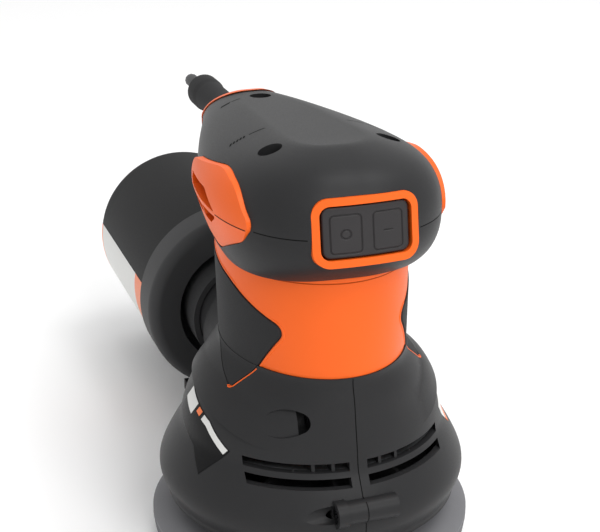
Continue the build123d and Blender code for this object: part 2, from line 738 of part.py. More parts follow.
def motor_housing():
    tail_x = NECK_FOOT_X - GRIP_T
    tail_y = NECK_FOOT_Y - GRIP_T
    outer = neck_solid(0, SKIRT_TOP, BOWL_Z) + oval_prism(tail_x, tail_y, SKIRT_TOP - NECK_TAIL, SKIRT_TOP)
    skin = neck_solid(2, SKIRT_TOP, BOWL_Z) - neck_solid(-GRIP_T, SKIRT_TOP - 1, BOWL_Z + 1)
    pockets = skin & grip_prism(LOOSE, -60, 60)
    inner = oval_prism(tail_x - NECK_WALL, tail_y - NECK_WALL, SKIRT_TOP - NECK_TAIL - 1, BOWL_Z + 1)
    shell = outer - inner - pockets
    for turn in (60, 120, 240, 300):
        rib = Rot(0, 0, turn) * block(STATOR_R + FIT, 41, -2, 2, SKIRT_TOP - NECK_TAIL, STATOR_Z[1])
        shell = shell + (rib & neck_solid(-GRIP_T - 1, SKIRT_TOP - NECK_TAIL, BOWL_Z))
    return shell


def grip(x0, x1):
    inset = LOOSE - GRIP_T
    upper = neck_solid(GRIP_PROUD, SKIRT_TOP, BOWL_Z - LOOSE) - neck_solid(inset, SKIRT_TOP - 1, BOWL_Z + 1)
    lower = shoulder_solid(0, TAB_TIP_Z - 2, SKIRT_TOP) - shoulder_solid(inset, TAB_TIP_Z - 3, SKIRT_TOP)
    return (upper + lower) & grip_prism(0, x0, x1)


# Head
COVER_SCREWS = ((-22.1, -18.9), (22.1, -18.9), (0.0, 60.0))
COVER_HEAD_Z = PART_Z + 6.0
COVER_BOSS_R = 5.6
COVER_WELL_R = 4.3
DOME = head_dome()
DOME_IN = head_dome(HEAD_WALL)
BOWL = head_bowl()
BOWL_IN = head_bowl(HEAD_WALL)
VENT_DOME = vent_turned(head_dome(-VENT_PROUD))
VENT_BOWL = vent_turned(head_bowl(-VENT_PROUD, VENT_DRAW, 1.0))
window = front_tilted(nose_prism(FRAME_W + 2 * FIT, FRAME_H + 2 * FIT, FRAME_CORNER))
vent_holes = vent_prism(VENT_GAP, -60, -26) + vent_prism(VENT_GAP, 26, 60)


def top_cover():
    cover = DOME - DOME_IN
    for x, y in COVER_SCREWS:
        boss = rod(COVER_BOSS_R, PART_Z, CROWN_Z + 5, x, y) & DOME
        cover = cover + boss
    for x, y in COVER_SCREWS:
        cover = cover - rod(COVER_WELL_R, COVER_HEAD_Z, CROWN_Z + 5, x, y) - rod(1.7, PART_Z - 1, CROWN_Z, x, y)
    return cover - window - vent_holes - rear_cut(0)


CLAMP_Y = (79.0, 86.0)
CLAMP_X = 12.0
CLAMP_SCREW_X = 8.0


def head_base():
    base = BOWL - BOWL_IN
    for x, y in COVER_SCREWS:
        base = base + rod(COVER_BOSS_R, BOWL_Z + 1, PART_Z, x, y)
    saddle = block(-CLAMP_X, CLAMP_X, *CLAMP_Y, BOWL_Z + 4, CORD_Z + CORD_R) & (BOWL + DOME)
    base = base + saddle + rod(BEARING_R + 3, UPPER_BEARING_Z - 1.5, UPPER_BEARING_Z + BEARING_T + 1)
    for x, y in COVER_SCREWS:
        base = base - rod(1.7, BOWL_Z + 4, PART_Z + 1, x, y)
    half = CORD_R + FIT
    groove = rod_y(half, 70, 99, 0, CORD_Z) + block(-half, half, 70, 99, CORD_Z, CORD_Z + 9)
    base = base - groove - rod(BEARING_R + RUN, UPPER_BEARING_Z - 3, UPPER_BEARING_Z + BEARING_T)
    base = base - rod(BEARING_R - 3, 0, 200)
    for s in (-1, 1):
        base = base - block(*sorted((s * 16, s * 24)), -6, 16, BOWL_Z - 5, BOWL_Z + 8)
        base = base - rod(1.4, CORD_Z - 8, CORD_Z + 9, s * CLAMP_SCREW_X, sum(CLAMP_Y) / 2)
    return base - window - vent_holes - rear_cut(0)


def rear_collar():
    whole = head_dome(-COLLAR_PROUD) + head_bowl(-COLLAR_PROUD)
    plate = (whole & rear_cut(FIT)) - rear_cut(COLLAR_T)
    return plate - rod_y(BOOT_R + FIT, 60, 130, 0, CORD_Z)


def left_vent(upper):
    skin = VENT_DOME - DOME_IN if upper else VENT_BOWL - BOWL_IN
    opening = parting_prism(VENT_WINDOW, VENT_WINDOW_RADII, 0, -62, -24)
    opening = opening - block(-62, -24, -60, 60, PART_Z - VENT_BAR, PART_Z + VENT_BAR)
    if not upper:
        opening = opening - block(-62, -24, *VENT_POST, PART_Z - 20, PART_Z)
    return (skin & vent_prism(0, -62, -24)) - opening


def switch_frame():
    ring = nose_prism(FRAME_W, FRAME_H, FRAME_CORNER)
    ring = ring - nose_prism(FRAME_W - 2 * FRAME_BAND, FRAME_H - 2 * FRAME_BAND, FRAME_CORNER - 2.4)
    return front_tilted(ring & nose_skin(FRAME_PROUD, FRAME_PROUD - FRAME_DEPTH))


ROCKER_W = FRAME_W - 2 * FRAME_BAND - 2 * ROCKER_GAP
ROCKER_H = FRAME_H - 2 * FRAME_BAND - 2 * ROCKER_GAP_Z


def switch_rocker():
    panel = nose_prism(ROCKER_W, ROCKER_H, ROCKER_CORNER)
    panel = panel & nose_skin(FRAME_PROUD - ROCKER_SUNK, FRAME_PROUD - ROCKER_SUNK - ROCKER_T)
    tongue = rod_y(3.0, FRAME_Y + 1.5, FRAME_Y + PIVOT_DEPTH + PIVOT_R, 0, FRAME_Z)
    pivot = rod(PIVOT_R, FRAME_Z - PIVOT_HALF, FRAME_Z + PIVOT_HALF, 0, FRAME_Y + PIVOT_DEPTH)
    return front_tilted(panel + tongue + pivot)


def switch_body():
    y0 = FRAME_Y + SWITCH_DEPTH
    size = SWITCH_BOX
    body = block(-size[0] / 2, size[0] / 2, y0, y0 + size[2], FRAME_Z - size[1] / 2, FRAME_Z + size[1] / 2)
    flange = block(-size[0] / 2 - 6, size[0] / 2 + 6, y0, y0 + 1.6, FRAME_Z - 6, FRAME_Z + 6)
    pegs = [block(x - 0.4, x + 0.4, y0 + size[2], y0 + size[2] + 7, FRAME_Z - 3, FRAME_Z + 3) for x in (-7, 7)]
    ears = []
    for s in (-1, 1):
        z0, z1 = sorted((FRAME_Z + s * (PIVOT_HALF - 1.8), FRAME_Z + s * PIVOT_HALF))
        ears.append(block(-3, 3, FRAME_Y + 3.4, y0 + 1, z0, z1))
    socket = rod(PIVOT_R + RUN, FRAME_Z - PIVOT_HALF - 1, FRAME_Z + PIVOT_HALF + 1, 0, FRAME_Y + PIVOT_DEPTH)
    return front_tilted(body + flange + pegs + (Compound(ears) - socket))


def capacitor():
    box = block(-13, 13, 20, 46, BOWL_Z + HEAD_WALL + FIT, BOWL_Z + HEAD_WALL + 13)
    return fillet(box.edges().filter_by(Axis.Z), 2.5)


def top_cover_screws():
    one = screw(3.4, 2.4, 1.6, 16)
    return join(Pos(x, y, COVER_HEAD_Z) * one for x, y in COVER_SCREWS)


# Cord
def cord_boot():
    y0, y1 = BOOT_Y
    outline = [(0, y0), (BOOT_R, y0), (BOOT_R, y1 - 15),
               (BOOT_TIP_R, y1 - 11), (BOOT_TIP_R, y1 - 3), (BOOT_TIP_R - 2.2, y1), (0, y1)]
    face = make_face(Polyline(*[(r, y, 0) for r, y in outline], close=True))
    return Pos(0, 0, CORD_Z) * revolve(face, Axis.Y)


def cord_inner_end():
    return rod_y(CORD_R, CLAMP_Y[0] - 6, BOOT_Y[0], 0, CORD_Z)


def cord_clamp():
    z0 = CORD_Z + CORD_R
    bar = block(-CLAMP_X + 0.5, CLAMP_X - 0.5, *CLAMP_Y, z0, z0 + 2.6)
    holes = [rod(1.7, z0 - 1, z0 + 5, s * CLAMP_SCREW_X, sum(CLAMP_Y) / 2) for s in (-1, 1)]
    return bar - holes


def clamp_screws():
    one = screw(2.8, 1.8, 1.3, 8)
    return join(Pos(s * CLAMP_SCREW_X, sum(CLAMP_Y) / 2, CORD_Z + CORD_R + 2.6) * one for s in (-1, 1))


COIL_Z = CORD_R + COIL_LIFT
COIL_TOP_Z = COIL_Z + COIL_STEP
COIL_EAST = COIL_X + COIL_EXIT_R
ROUTE = [(0, BOOT_Y[1], CORD_Z), (0, 176, CORD_Z), (15, 197, 127), (35, 205, 110), (52, 214, 88),
         (64, 227, 65), (78, 239, 44), (98, 226, 16),
         (COIL_EAST, COIL_Y + 21, COIL_TOP_Z), (COIL_EAST, COIL_Y, COIL_TOP_Z)]


def route_radii(points):
    """Largest tangent arc for each corner of a route: 0.45 of the shorter run over tan of half the turn."""
    radii = []
    for a, b, c in zip(points, points[1:], points[2:]):
        into = Vector(*b) - Vector(*a)
        away = Vector(*c) - Vector(*b)
        half = math.radians(into.get_angle(away) / 2)
        radii.append(0.45 * min(into.length, away.length) / math.tan(half))
    return radii


def cord():
    radii = route_radii(ROUTE)
    path = FilletPolyline(*ROUTE, radius=radii)
    start = Plane(origin=ROUTE[0], z_dir=(0, 1, 0))
    shape = sweep(start * Circle(CORD_R), path=path)
    print("cord radii", [round(r, 1) for r in radii], "length", round(path.length, 1),
          "volume ratio", round(shape.volume / (math.pi * CORD_R ** 2 * path.length), 4))
    return shape


def biarc(start, start_dir, end, end_dir):
    """Two tangent arcs between two points whose directions mirror or match each other."""
    gap = end - start
    both = start_dir + end_dir
    a = 2 - 2 * start_dir.dot(end_dir)
    b = 2 * gap.dot(both)
    c = -gap.dot(gap)
    span = both.dot(both) - 4
    reach = -c / b if abs(span) < 1e-9 else (b - math.sqrt(b * b - 4 * span * gap.dot(gap))) / (2 * span)
    middle = (start + start_dir * reach + end - end_dir * reach) * 0.5
    turn = (end - end_dir * reach - start - start_dir * reach).normalized()
    return [Edge.make_tangent_arc(start, start_dir, middle), Edge.make_tangent_arc(middle, turn, end)]


def coil_path():
    """Put-away cord: half turns wind in, go down a layer, wind out again and leave for the plug."""
    south = Vector(0, -1, 0)
    edges = []
    place = Vector(COIL_EAST, COIL_Y, COIL_TOP_Z)
    heading = south
    radius = COIL_START_R
    side = -1

    def half_turn(rise):
        nonlocal place, heading, side
        end = place + Vector(2 * radius * side, 0, rise)
        edges.extend(biarc(place, heading, end, heading * -1))
        place = end
        heading = heading * -1
        side = -side

    for i in range(COIL_IN):
        half_turn(0.0)
        radius -= COIL_STEP / 2
    half_turn(-COIL_STEP)
    for i in range(COIL_OUT):
        radius += COIL_STEP / 2
        half_turn(0.0)
    turn = math.radians(COIL_EXIT_TURN)
    leave = Vector(COIL_X + COIL_EXIT_R * math.cos(turn), COIL_Y - COIL_EXIT_R * math.sin(turn), COIL_Z)
    away = Vector(-math.sin(turn), -math.cos(turn), 0)
    edges.append(Edge.make_tangent_arc(place, heading, leave))
    rise = leave + away * PLUG_LEVEL_RUN
    edges.append(Edge.make_line(leave, rise))
    foot = rise + away * PLUG_RISE_RUN + Vector(0, 0, PLUG_T / 2 - COIL_Z)
    middle = (rise + foot) * 0.5
    edges.append(Edge.make_tangent_arc(rise, away, middle))
    edges.append(Edge.make_tangent_arc(middle, edges[-1] % 1, foot))
    entry = foot + away * (2 * CORD_R)
    edges.append(Edge.make_line(foot, entry))
    return Wire(edges), entry


def self_gap(path, skip):
    """Least gap between parts of a cord that are further apart along it than skip."""
    count = int(path.length / 3.0)
    points = [path @ (i / count) for i in range(count + 1)]
    stride = int(skip / 3.0)
    least = min((a - b).length for i, a in enumerate(points) for b in points[i + stride:])
    return least - 2 * CORD_R


def cord_coil(path):
    start = Plane(origin=(COIL_EAST, COIL_Y, COIL_TOP_Z), z_dir=(0, -1, 0))
    shape = sweep(start * Circle(CORD_R), path=path)
    print("coil length", round(path.length, 1), "least gap", round(self_gap(path, 60), 2),
          "volume ratio", round(shape.volume / (math.pi * CORD_R ** 2 * path.length), 4), shape.is_valid)
    return shape


def coil_tie():
    """Strap round the coil on its far side."""
    x = COIL_X + COIL_STEP / 2
    outer_r = COIL_EXIT_R - COIL_STEP / 2 + CORD_R + LOOSE
    inner_r = COIL_START_R - COIL_IN * COIL_STEP / 2 - CORD_R - 2 * LOOSE
    z0 = COIL_LIFT - FIT
    z1 = COIL_TOP_Z + CORD_R + LOOSE
    y0 = COIL_Y + inner_r
    y1 = COIL_Y + outer_r
    hole = block(x - TIE_W, x + TIE_W, y0, y1, z0, z1)
    band = block(x - TIE_W / 2, x + TIE_W / 2, y0 - TIE_T, y1 + TIE_T, z0 - TIE_T, z1 + TIE_T)
    return band - hole


def plug_place(entry):
    """Where the plug lies: cord end at entry, pins pointing on along the cord."""
    return Pos(entry.X, entry.Y, 0) * Rot(0, 0, -COIL_EXIT_TURN)


def plug_body(entry):
    """Flat two-pin plug lying on the floor."""
    half = PLUG_W / 2
    tip = SLEEVE_L + PLUG_L
    neck = PLUG_T / 2
    shoulder = SLEEVE_L + 14
    cone = Cone(CORD_R + 1.4, neck - 0.6, SLEEVE_L + 2)
    sleeve = Pos(0, -SLEEVE_L / 2 - 1, neck) * Rot(90, 0, 0) * cone
    outline = [(-neck, -SLEEVE_L), (neck, -SLEEVE_L), (half, -shoulder), (half, -tip), (-half, -tip),
               (-half, -shoulder)]
    body = extrude(make_face(Polyline(*outline, close=True)), PLUG_T)
    body = fillet(body.edges().filter_by(Axis.Z), 3.0)
    return plug_place(entry) * (body + sleeve)


def plug_pins(entry):
    y = -SLEEVE_L - PLUG_L
    pins = [rod_y(PIN_R, y - PIN_L, y, s * PIN_SPACING / 2, PLUG_T / 2) for s in (-1, 1)]
    return join(plug_place(entry) * fillet(pin.edges().group_by(Axis.Y)[0], 1.2) for pin in pins)


# Dust path
def dust_duct():
    return tube_y(DUCT_R, DUCT_R - DUCT_T, *DUCT_Y, 0, DUCT_Z)


SOCKET_BORE = DUCT_R + SLIDE
SOCKET_R = SOCKET_BORE + SOCKET_T


def canister_body():
    outer = rod_y(CAN_R, *CAN_Y, 0, DUCT_Z)
    outer = fillet(outer.edges().group_by(Axis.Y)[-1], CAN_ROUND)
    inner = rod_y(CAN_R - CAN_T, CAN_Y[0] - 1, CAN_Y[1] - CAN_T, 0, DUCT_Z)
    inner = fillet(inner.edges().group_by(Axis.Y)[-1], CAN_ROUND - CAN_T)
    return outer - inner


LIP_R = CAN_R - CAN_T - SEAL_RING_T - 2 * FIT


def canister_cap():
    y1 = CAN_Y[0]
    outer = rod_y(CAP_R, CAP_Y0, y1 + CAP_LAP, 0, DUCT_Z)
    outer = fillet(outer.edges().group_by(Axis.Y)[0], CAP_ROUND)
    mouth = rod_y(CAN_R + FIT, y1 - 1, y1 + CAP_LAP + 1, 0, DUCT_Z)
    hollow = tube_y(CAP_R - CAP_T, CAP_RECESS_R + CAP_T, CAP_Y0 + CAP_ROUND, y1, 0, DUCT_Z)
    recess = rod_y(CAP_RECESS_R, CAP_Y0 - 1, y1 - CAP_T, 0, DUCT_Z)
    back = tube_y(CAP_RECESS_R + CAP_T, SOCKET_BORE, y1 - CAP_T, y1, 0, DUCT_Z)
    lip = tube_y(LIP_R, LIP_R - 2, CAP_Y0 + CAP_ROUND - 1, y1 + 4, 0, DUCT_Z)
    socket = tube_y(SOCKET_R, SOCKET_BORE, SOCKET_Y0, y1, 0, DUCT_Z)
    return outer - mouth - hollow - recess - rod_y(SOCKET_BORE, CAP_Y0, y1 + 1, 0, DUCT_Z) + back + lip + socket


def canister_seal():
    y1 = CAN_Y[0]
    bore = LIP_R + FIT
    return tube_y(bore + SEAL_RING_T, bore, y1, y1 + 3, 0, DUCT_Z)


def canister_filter():
    y0 = CAN_Y[0]
    points = []
    for i in range(2 * FILTER_FOLDS):
        r = FILTER_R if i % 2 == 0 else FILTER_R - 5
        turn = math.pi * i / FILTER_FOLDS
        points.append((r * math.cos(turn), y0, DUCT_Z + r * math.sin(turn)))
    pleats = extrude(make_face(Polyline(*points, close=True)), FILTER_L, dir=(0, 1, 0))
    hollow = rod_y(FILTER_R - 7, y0 - 1, y0 + FILTER_L - 2, 0, DUCT_Z)
    return pleats - hollow


def canister_latches():
    y0 = CAP_Y0 - 17
    drop = math.sqrt((CAP_R + FIT) ** 2 - LATCH_X ** 2)
    z1 = DUCT_Z - drop
    arm = block(LATCH_X, LATCH_X + 5, y0, CAP_Y0 + 9, z1 - 5, z1)
    hook = block(LATCH_X, LATCH_X + 5, y0, y0 + 3, z1 - 5, z1 + 4)
    return join(mirrored_x(arm + hook))


# Write every piece
os.makedirs("parts", exist_ok=True)

save("pad_hook_face", pad_hook_face())
save("pad_foam", pad_foam())
save("pad_plate", pad_plate())
save("pad_spindle", pad_spindle())
save("pad_screws", pad_screws())
save("pad_bearing", pad_bearing())
save("fan", fan())
save("motor_shaft", motor_shaft())
save("armature_core", armature_core())
save("armature_windings", armature_windings())
save("commutator", commutator())
save("stator_core", stator_core())
save("field_coils", field_coils())
save("brush_carrier", brush_carrier())
save("brush_holders", brush_holders())
save("carbon_brushes", carbon_brushes())
save("brush_springs", brush_springs())
save("lower_bearing", ball_bearing(LOWER_BEARING_Z))
save("upper_bearing", ball_bearing(UPPER_BEARING_Z))
save("bearing_plate", bearing_plate())
save("pad_seal", pad_seal())
shell = skirt_shell()
save("left_housing", shell & block(-90, 0, -90, 90, 0, 200))
save("right_housing", shell & block(0, 90, -90, 90, 0, 200))
save("housing_screws", housing_screws())
save("motor_housing", motor_housing())
left_grip = grip(-60, -FIT)
save("left_grip", left_grip)
save("right_grip", mirror(left_grip, Plane.YZ))
save("head_base", head_base())
save("top_cover", top_cover())
save("rear_collar", rear_collar())
left_vent_upper = left_vent(True)
left_vent_lower = left_vent(False)
save("left_vent_upper", left_vent_upper)
save("left_vent_lower", left_vent_lower)
save("right_vent_upper", mirror(left_vent_upper, Plane.YZ))
save("right_vent_lower", mirror(left_vent_lower, Plane.YZ))
save("switch_frame", switch_frame())
save("switch_rocker", switch_rocker())
save("switch_body", switch_body())
save("capacitor", capacitor())
save("top_cover_screws", top_cover_screws())
save("cord_boot", cord_boot())
save("cord_inner_end", cord_inner_end())
save("cord_clamp", cord_clamp())
save("clamp_screws", clamp_screws())
save("cord", cord())
coil, plug_entry = coil_path()
save("cord_coil", cord_coil(coil))
save("coil_tie", coil_tie())
save("plug_body", plug_body(plug_entry))
save("plug_pins", plug_pins(plug_entry))
save("dust_duct", dust_duct())
save("canister_body", canister_body())
save("canister_cap", canister_cap())
save("canister_seal", canister_seal())
save("canister_filter", canister_filter())
save("canister_latches", canister_latches())
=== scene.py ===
# %% [markdown]
# # A random orbital palm sander
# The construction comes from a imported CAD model, which is loaded as a fixed frame: every shell, screw and
# shaft is already there at its real size. This lesson dresses it. Materials come first, then the cord, and
# then the small moulded and printed details that a CAD shell does not carry.

# %% Load the frame
import math

import bpy
import numpy as np
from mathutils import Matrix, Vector


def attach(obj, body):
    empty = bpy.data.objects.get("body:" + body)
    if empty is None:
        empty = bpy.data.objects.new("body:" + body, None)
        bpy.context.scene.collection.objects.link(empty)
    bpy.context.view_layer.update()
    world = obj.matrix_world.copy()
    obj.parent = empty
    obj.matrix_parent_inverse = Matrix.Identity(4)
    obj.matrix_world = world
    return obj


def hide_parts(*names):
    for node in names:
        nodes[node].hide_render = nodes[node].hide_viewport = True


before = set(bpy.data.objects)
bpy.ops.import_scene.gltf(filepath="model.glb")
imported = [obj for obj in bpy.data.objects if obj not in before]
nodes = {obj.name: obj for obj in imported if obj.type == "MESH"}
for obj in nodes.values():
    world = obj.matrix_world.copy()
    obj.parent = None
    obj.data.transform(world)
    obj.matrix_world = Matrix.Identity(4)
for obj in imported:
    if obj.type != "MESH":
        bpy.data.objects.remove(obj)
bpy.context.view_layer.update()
MM = 0.001

# %% [markdown]
# ## The camera
# A camera is a place, a direction and a lens. The photograph looks down on the tool from its front left. The
# place and the lens below put the rims of the head, the neck and the pad where the photograph has them.

# %% Camera
CAMERA_PLACE = (-0.16678, -0.45842, 0.30445)
CAMERA_AIM = (0.3101, 0.8756, -0.3704)
CAMERA_LENS = 84.0
SENSOR_WIDTH = 36.0

camera_data = bpy.data.cameras.new("camera")
camera_data.lens = CAMERA_LENS
camera_data.sensor_width = SENSOR_WIDTH
camera = bpy.data.objects.new("camera", camera_data)
camera.location = CAMERA_PLACE
camera.rotation_euler = Vector(CAMERA_AIM).to_track_quat("-Z", "Y").to_euler()
bpy.context.scene.collection.objects.link(camera)
bpy.context.scene.camera = camera
print("camera", CAMERA_PLACE)

# %% [markdown]
# ## Colours and nodes
# Colours are written as they look on a screen, in sRGB hex. Shaders add light, which needs linear values, so
# one function turns one into the other. One more function adds a node, sets its values and joins its inputs.

# %% Helpers for materials
TOE_END = 0.04045
TOE_SLOPE = 12.92
CURVE_OFFSET = 0.055
CURVE_POWER = 2.4


def linear(hex_colour):
    """Linear red, green, blue and alpha of an sRGB hex colour: a straight toe, then a power of 2.4."""
    channels = np.array([int(hex_colour[i:i + 2], 16) for i in (1, 3, 5)]) / 255.0
    toe = channels / TOE_SLOPE
    curve = ((channels + CURVE_OFFSET) / (1 + CURVE_OFFSET)) ** CURVE_POWER
    return (*np.where(channels <= TOE_END, toe, curve).tolist(), 1.0)


def add(tree, kind, inputs=(), **settings):
    """Add a node, give it settings, and set or join its inputs: a value is set, a socket is joined."""
    node = tree.nodes.new(kind)
    for name, value in settings.items():
        setattr(node, name, value)
    for key, value in dict(inputs).items():
        if isinstance(value, bpy.types.NodeSocket):
            tree.links.new(value, node.inputs[key])
        else:
            node.inputs[key].default_value = value
    return node


def new_material(name):
    """A material with its shader joined to the output, and the piece's own coordinates."""
    material = bpy.data.materials.new(name)
    material.use_nodes = True
    tree = material.node_tree
    tree.nodes.clear()
    shader = add(tree, "ShaderNodeBsdfPrincipled")
    add(tree, "ShaderNodeOutputMaterial", {"Surface": shader.outputs["BSDF"]})
    place = add(tree, "ShaderNodeTexCoord").outputs["Object"]
    return material, tree, shader, place


# %% [markdown]
# ## Moulded plastic
# The housing is moulded plastic from a spark-eroded tool: a fine random grain about a third of a millimetre
# wide, satin rather than glossy. A picture of it would repeat, so two noises make it instead. The fine one
# lifts the surface a little and varies its gloss. The slow one shifts the colour by a few percent, as
# handling and light scuffs do.

# %% Recipe for a moulding
SCUFF_MM = 24.0
GRAIN_LOW = 0.3
GRAIN_HIGH = 0.7
GRAIN_STRENGTH = 0.6
GLOSS_SPREAD = 0.05
PLASTIC_IOR = 1.5


def moulded(name, colour, roughness, grain_mm, lift_mm, specular=0.5, scuff=0.12):
    """Grained moulding: noise bump one grain wide, gloss that follows the grain, slow shift of colour."""
    material, tree, shader, place = new_material(name)
    grain_scale = 1.0 / (grain_mm * MM)
    scuff_scale = 1.0 / (SCUFF_MM * MM)
    grain = add(tree, "ShaderNodeTexNoise", {"Vector": place, "Scale": grain_scale, "Detail": 2.0})
    slow = add(tree, "ShaderNodeTexNoise", {"Vector": place, "Scale": scuff_scale, "Detail": 3.0})
    base = np.array(linear(colour))
    shade = add(tree, "ShaderNodeMixRGB", {"Fac": slow.outputs["Fac"],
                                           "Color1": (*(base[:3] * (1 - scuff)), 1.0),
                                           "Color2": (*(base[:3] * (1 + scuff)), 1.0)})
    gloss = add(tree, "ShaderNodeMapRange", {"Value": grain.outputs["Fac"],
                                             "From Min": GRAIN_LOW, "From Max": GRAIN_HIGH,
                                             "To Min": roughness - GLOSS_SPREAD,
                                             "To Max": roughness + GLOSS_SPREAD})
    bump = add(tree, "ShaderNodeBump", {"Height": grain.outputs["Fac"], "Distance": lift_mm * MM,
                                        "Strength": GRAIN_STRENGTH})
    tree.links.new(shade.outputs["Color"], shader.inputs["Base Color"])
    tree.links.new(gloss.outputs["Result"], shader.inputs["Roughness"])
    tree.links.new(bump.outputs["Normal"], shader.inputs["Normal"])
    shader.inputs["Specular IOR Level"].default_value = specular
    shader.inputs["IOR"].default_value = PLASTIC_IOR
    return material


# %% Plastics, rubbers and films
# Each finish has a colour, a roughness, and the width and height of its grain in millimetres.
# Black ABS of the shells is satin, with broad soft highlights.
housing_abs = moulded("grained_black_abs", "#242425", 0.45, 0.35, 0.03, specular=0.18)
# The canister has a finer grain and looks deeper and duller, and its cap is a greyer batch.
canister_abs = moulded("fine_black_abs", "#121213", 0.55, 0.3, 0.02, specular=0.12)
cap_abs = moulded("grey_black_abs", "#373738", 0.55, 0.3, 0.02, specular=0.25)
# Orange ABS is even in colour with a soft sheen. Its second, darker orange is painted shadow for the line
# under the neck's lip.
orange_abs = moulded("satin_orange_abs", "#ea6015", 0.45, 0.35, 0.012, specular=0.25, scuff=0.04)
orange_painted_shade = moulded("painted_shade_orange", "#a23f0a", 0.6, 0.35, 0.012, specular=0.1, scuff=0.04)
# The switch is a charcoal ABS with a finer grain, so the edges of its keys catch a thin highlight.
switch_abs = moulded("satin_charcoal_abs", "#2a2829", 0.48, 0.3, 0.015, specular=0.28)
# Soft rubber is matt with a coarser grain. The cord's sheath is harder and a little shinier.
grip_rubber = moulded("soft_grip_rubber", "#252526", 0.68, 0.4, 0.04, specular=0.18)
sheath_rubber = moulded("rubber_cord_sheath", "#2e2e2f", 0.6, 0.4, 0.02, specular=0.35)
# Nylon and pressed carbon look dry, and the capacitor's dipped case looks wet.
pad_nylon = moulded("grey_pad_nylon", "#67676a", 0.6, 0.4, 0.03)
carbon_block = moulded("pressed_carbon", "#1b1b1c", 0.7, 0.25, 0.02)
fan_nylon = moulded("glass_filled_nylon", "#232324", 0.6, 0.3, 0.03)
capacitor_case = moulded("yellow_film_case", "#c9a23a", 0.35, 0.5, 0.01)
# A joint between two mouldings is all shadow. The engraved ticks on the cover take the same near-black as
# painted shade.
seam_shadow = moulded("moulded_seam", "#0a0a0a", 0.8, 0.3, 0.02, specular=0.1)
# Label films are smooth, with hardly any grain.
label_black = moulded("black_label_film", "#101011", 0.4, 0.6, 0.004, specular=0.1)
label_pale = moulded("pale_label_film", "#d4d4d1", 0.35, 0.6, 0.004, scuff=0.03)
label_orange = moulded("orange_label_film", "#e8702a", 0.35, 0.6, 0.004, scuff=0.03)
print("plastics", len(bpy.data.materials))

# %% [markdown]
# ## Foam, hook cloth and filter paper
# The pad is closed-cell foam, whose cut edge shows small round cells. Under it is a hook cloth, a field of
# short stiff hooks about a millimetre apart, and the canister holds a sheet of pleated paper with short
# fibres. All three are a field of small spots, which is what a Voronoi pattern gives.

# %% Foam, hook cloth and paper
# Painted shade in the pits of the cells and painted light on their rims: colour factors for the low and high
# ends of the bump.
PAINTED_PIT_SHADE = 0.72
PAINTED_RIM_LIGHT = 1.15


def celled(name, colour, roughness, cell_mm, lift_mm):
    """Round cells or hooks: a Voronoi distance for the bump, painted shade where it is deep and painted light
    where it is high.
    """
    material, tree, shader, place = new_material(name)
    cells = add(tree, "ShaderNodeTexVoronoi", {"Vector": place, "Scale": 1.0 / (cell_mm * MM)})
    base = np.array(linear(colour))
    shade = add(tree, "ShaderNodeMixRGB", {"Fac": cells.outputs["Distance"],
                                           "Color1": (*(base[:3] * PAINTED_PIT_SHADE), 1.0),
                                           "Color2": (*(base[:3] * PAINTED_RIM_LIGHT), 1.0)})
    bump = add(tree, "ShaderNodeBump", {"Height": cells.outputs["Distance"], "Distance": lift_mm * MM})
    tree.links.new(shade.outputs["Color"], shader.inputs["Base Color"])
    tree.links.new(bump.outputs["Normal"], shader.inputs["Normal"])
    shader.inputs["Roughness"].default_value = roughness
    return material


# Each has a colour, a roughness, and the spacing and depth of its cells in millimetres.
pad_foam = celled("closed_cell_foam", "#67676a", 0.85, 0.9, 0.12)
hook_cloth = celled("hook_cloth", "#3c3c3e", 0.9, 1.0, 0.3)
filter_paper = celled("pleated_filter_paper", "#dcd4c0", 0.9, 0.7, 0.05)
print("plastics, foam, cloth and paper", len(bpy.data.materials))

# %% [markdown]
# ## Metals
# A turned or ground metal has fine rings round its axis, which stretch its highlight. A wave of rings about
# Z, roughened by noise, gives that on the shafts, bearings and screws. Real rings are too fine to show, so
# these are drawn a few millimetres apart.

# %% Metals
WAVE_COUNT = 20
RING_WANDER = 3.0
RING_STRENGTH = 0.4
GLOSS_BELOW = 0.06
GLOSS_ABOVE = 0.08


def turned(name, colour, roughness, ring_mm, lift_mm):
    """Metal turned about Z: a sine of the distance from Z over the ring size, broken up by noise."""
    material, tree, shader, place = new_material(name)
    ring_scale = 1.0 / (WAVE_COUNT * ring_mm * MM)
    rings = add(tree, "ShaderNodeTexWave", {"Vector": place, "Scale": ring_scale, "Distortion": RING_WANDER},
                wave_type="RINGS", rings_direction="Z")
    gloss = add(tree, "ShaderNodeMapRange", {"Value": rings.outputs["Fac"],
                                             "To Min": roughness - GLOSS_BELOW,
                                             "To Max": roughness + GLOSS_ABOVE})
    bump = add(tree, "ShaderNodeBump", {"Height": rings.outputs["Fac"], "Distance": lift_mm * MM,
                                        "Strength": RING_STRENGTH})
    tree.links.new(gloss.outputs["Result"], shader.inputs["Roughness"])
    tree.links.new(bump.outputs["Normal"], shader.inputs["Normal"])
    shader.inputs["Base Color"].default_value = linear(colour)
    shader.inputs["Metallic"].default_value = 1.0
    return material


# Each metal has a colour, a roughness, and the size and height of its rings in millimetres.
# Ground shafts and plated pins are bright, screws and cores are darker and duller.
ground_steel = turned("ground_steel", "#b9babd", 0.28, 0.6, 0.01)
black_steel = turned("blackened_steel", "#4a4a4d", 0.4, 0.5, 0.01)
core_steel = turned("laminated_steel", "#7d7e82", 0.45, 0.5, 0.02)
# Copper and brass keep a warm highlight.
copper_wire = turned("enamelled_copper", "#b9673a", 0.34, 0.6, 0.03)
stamped_brass = turned("stamped_brass", "#c9a862", 0.32, 0.7, 0.01)
plated_brass = turned("nickel_plated_brass", "#c9c5bb", 0.22, 0.8, 0.01)
# Cast aluminium has the coarsest rings and a soft grey shine.
cast_aluminium = turned("cast_aluminium", "#a9abae", 0.5, 1.2, 0.03)
print("materials", len(bpy.data.materials))

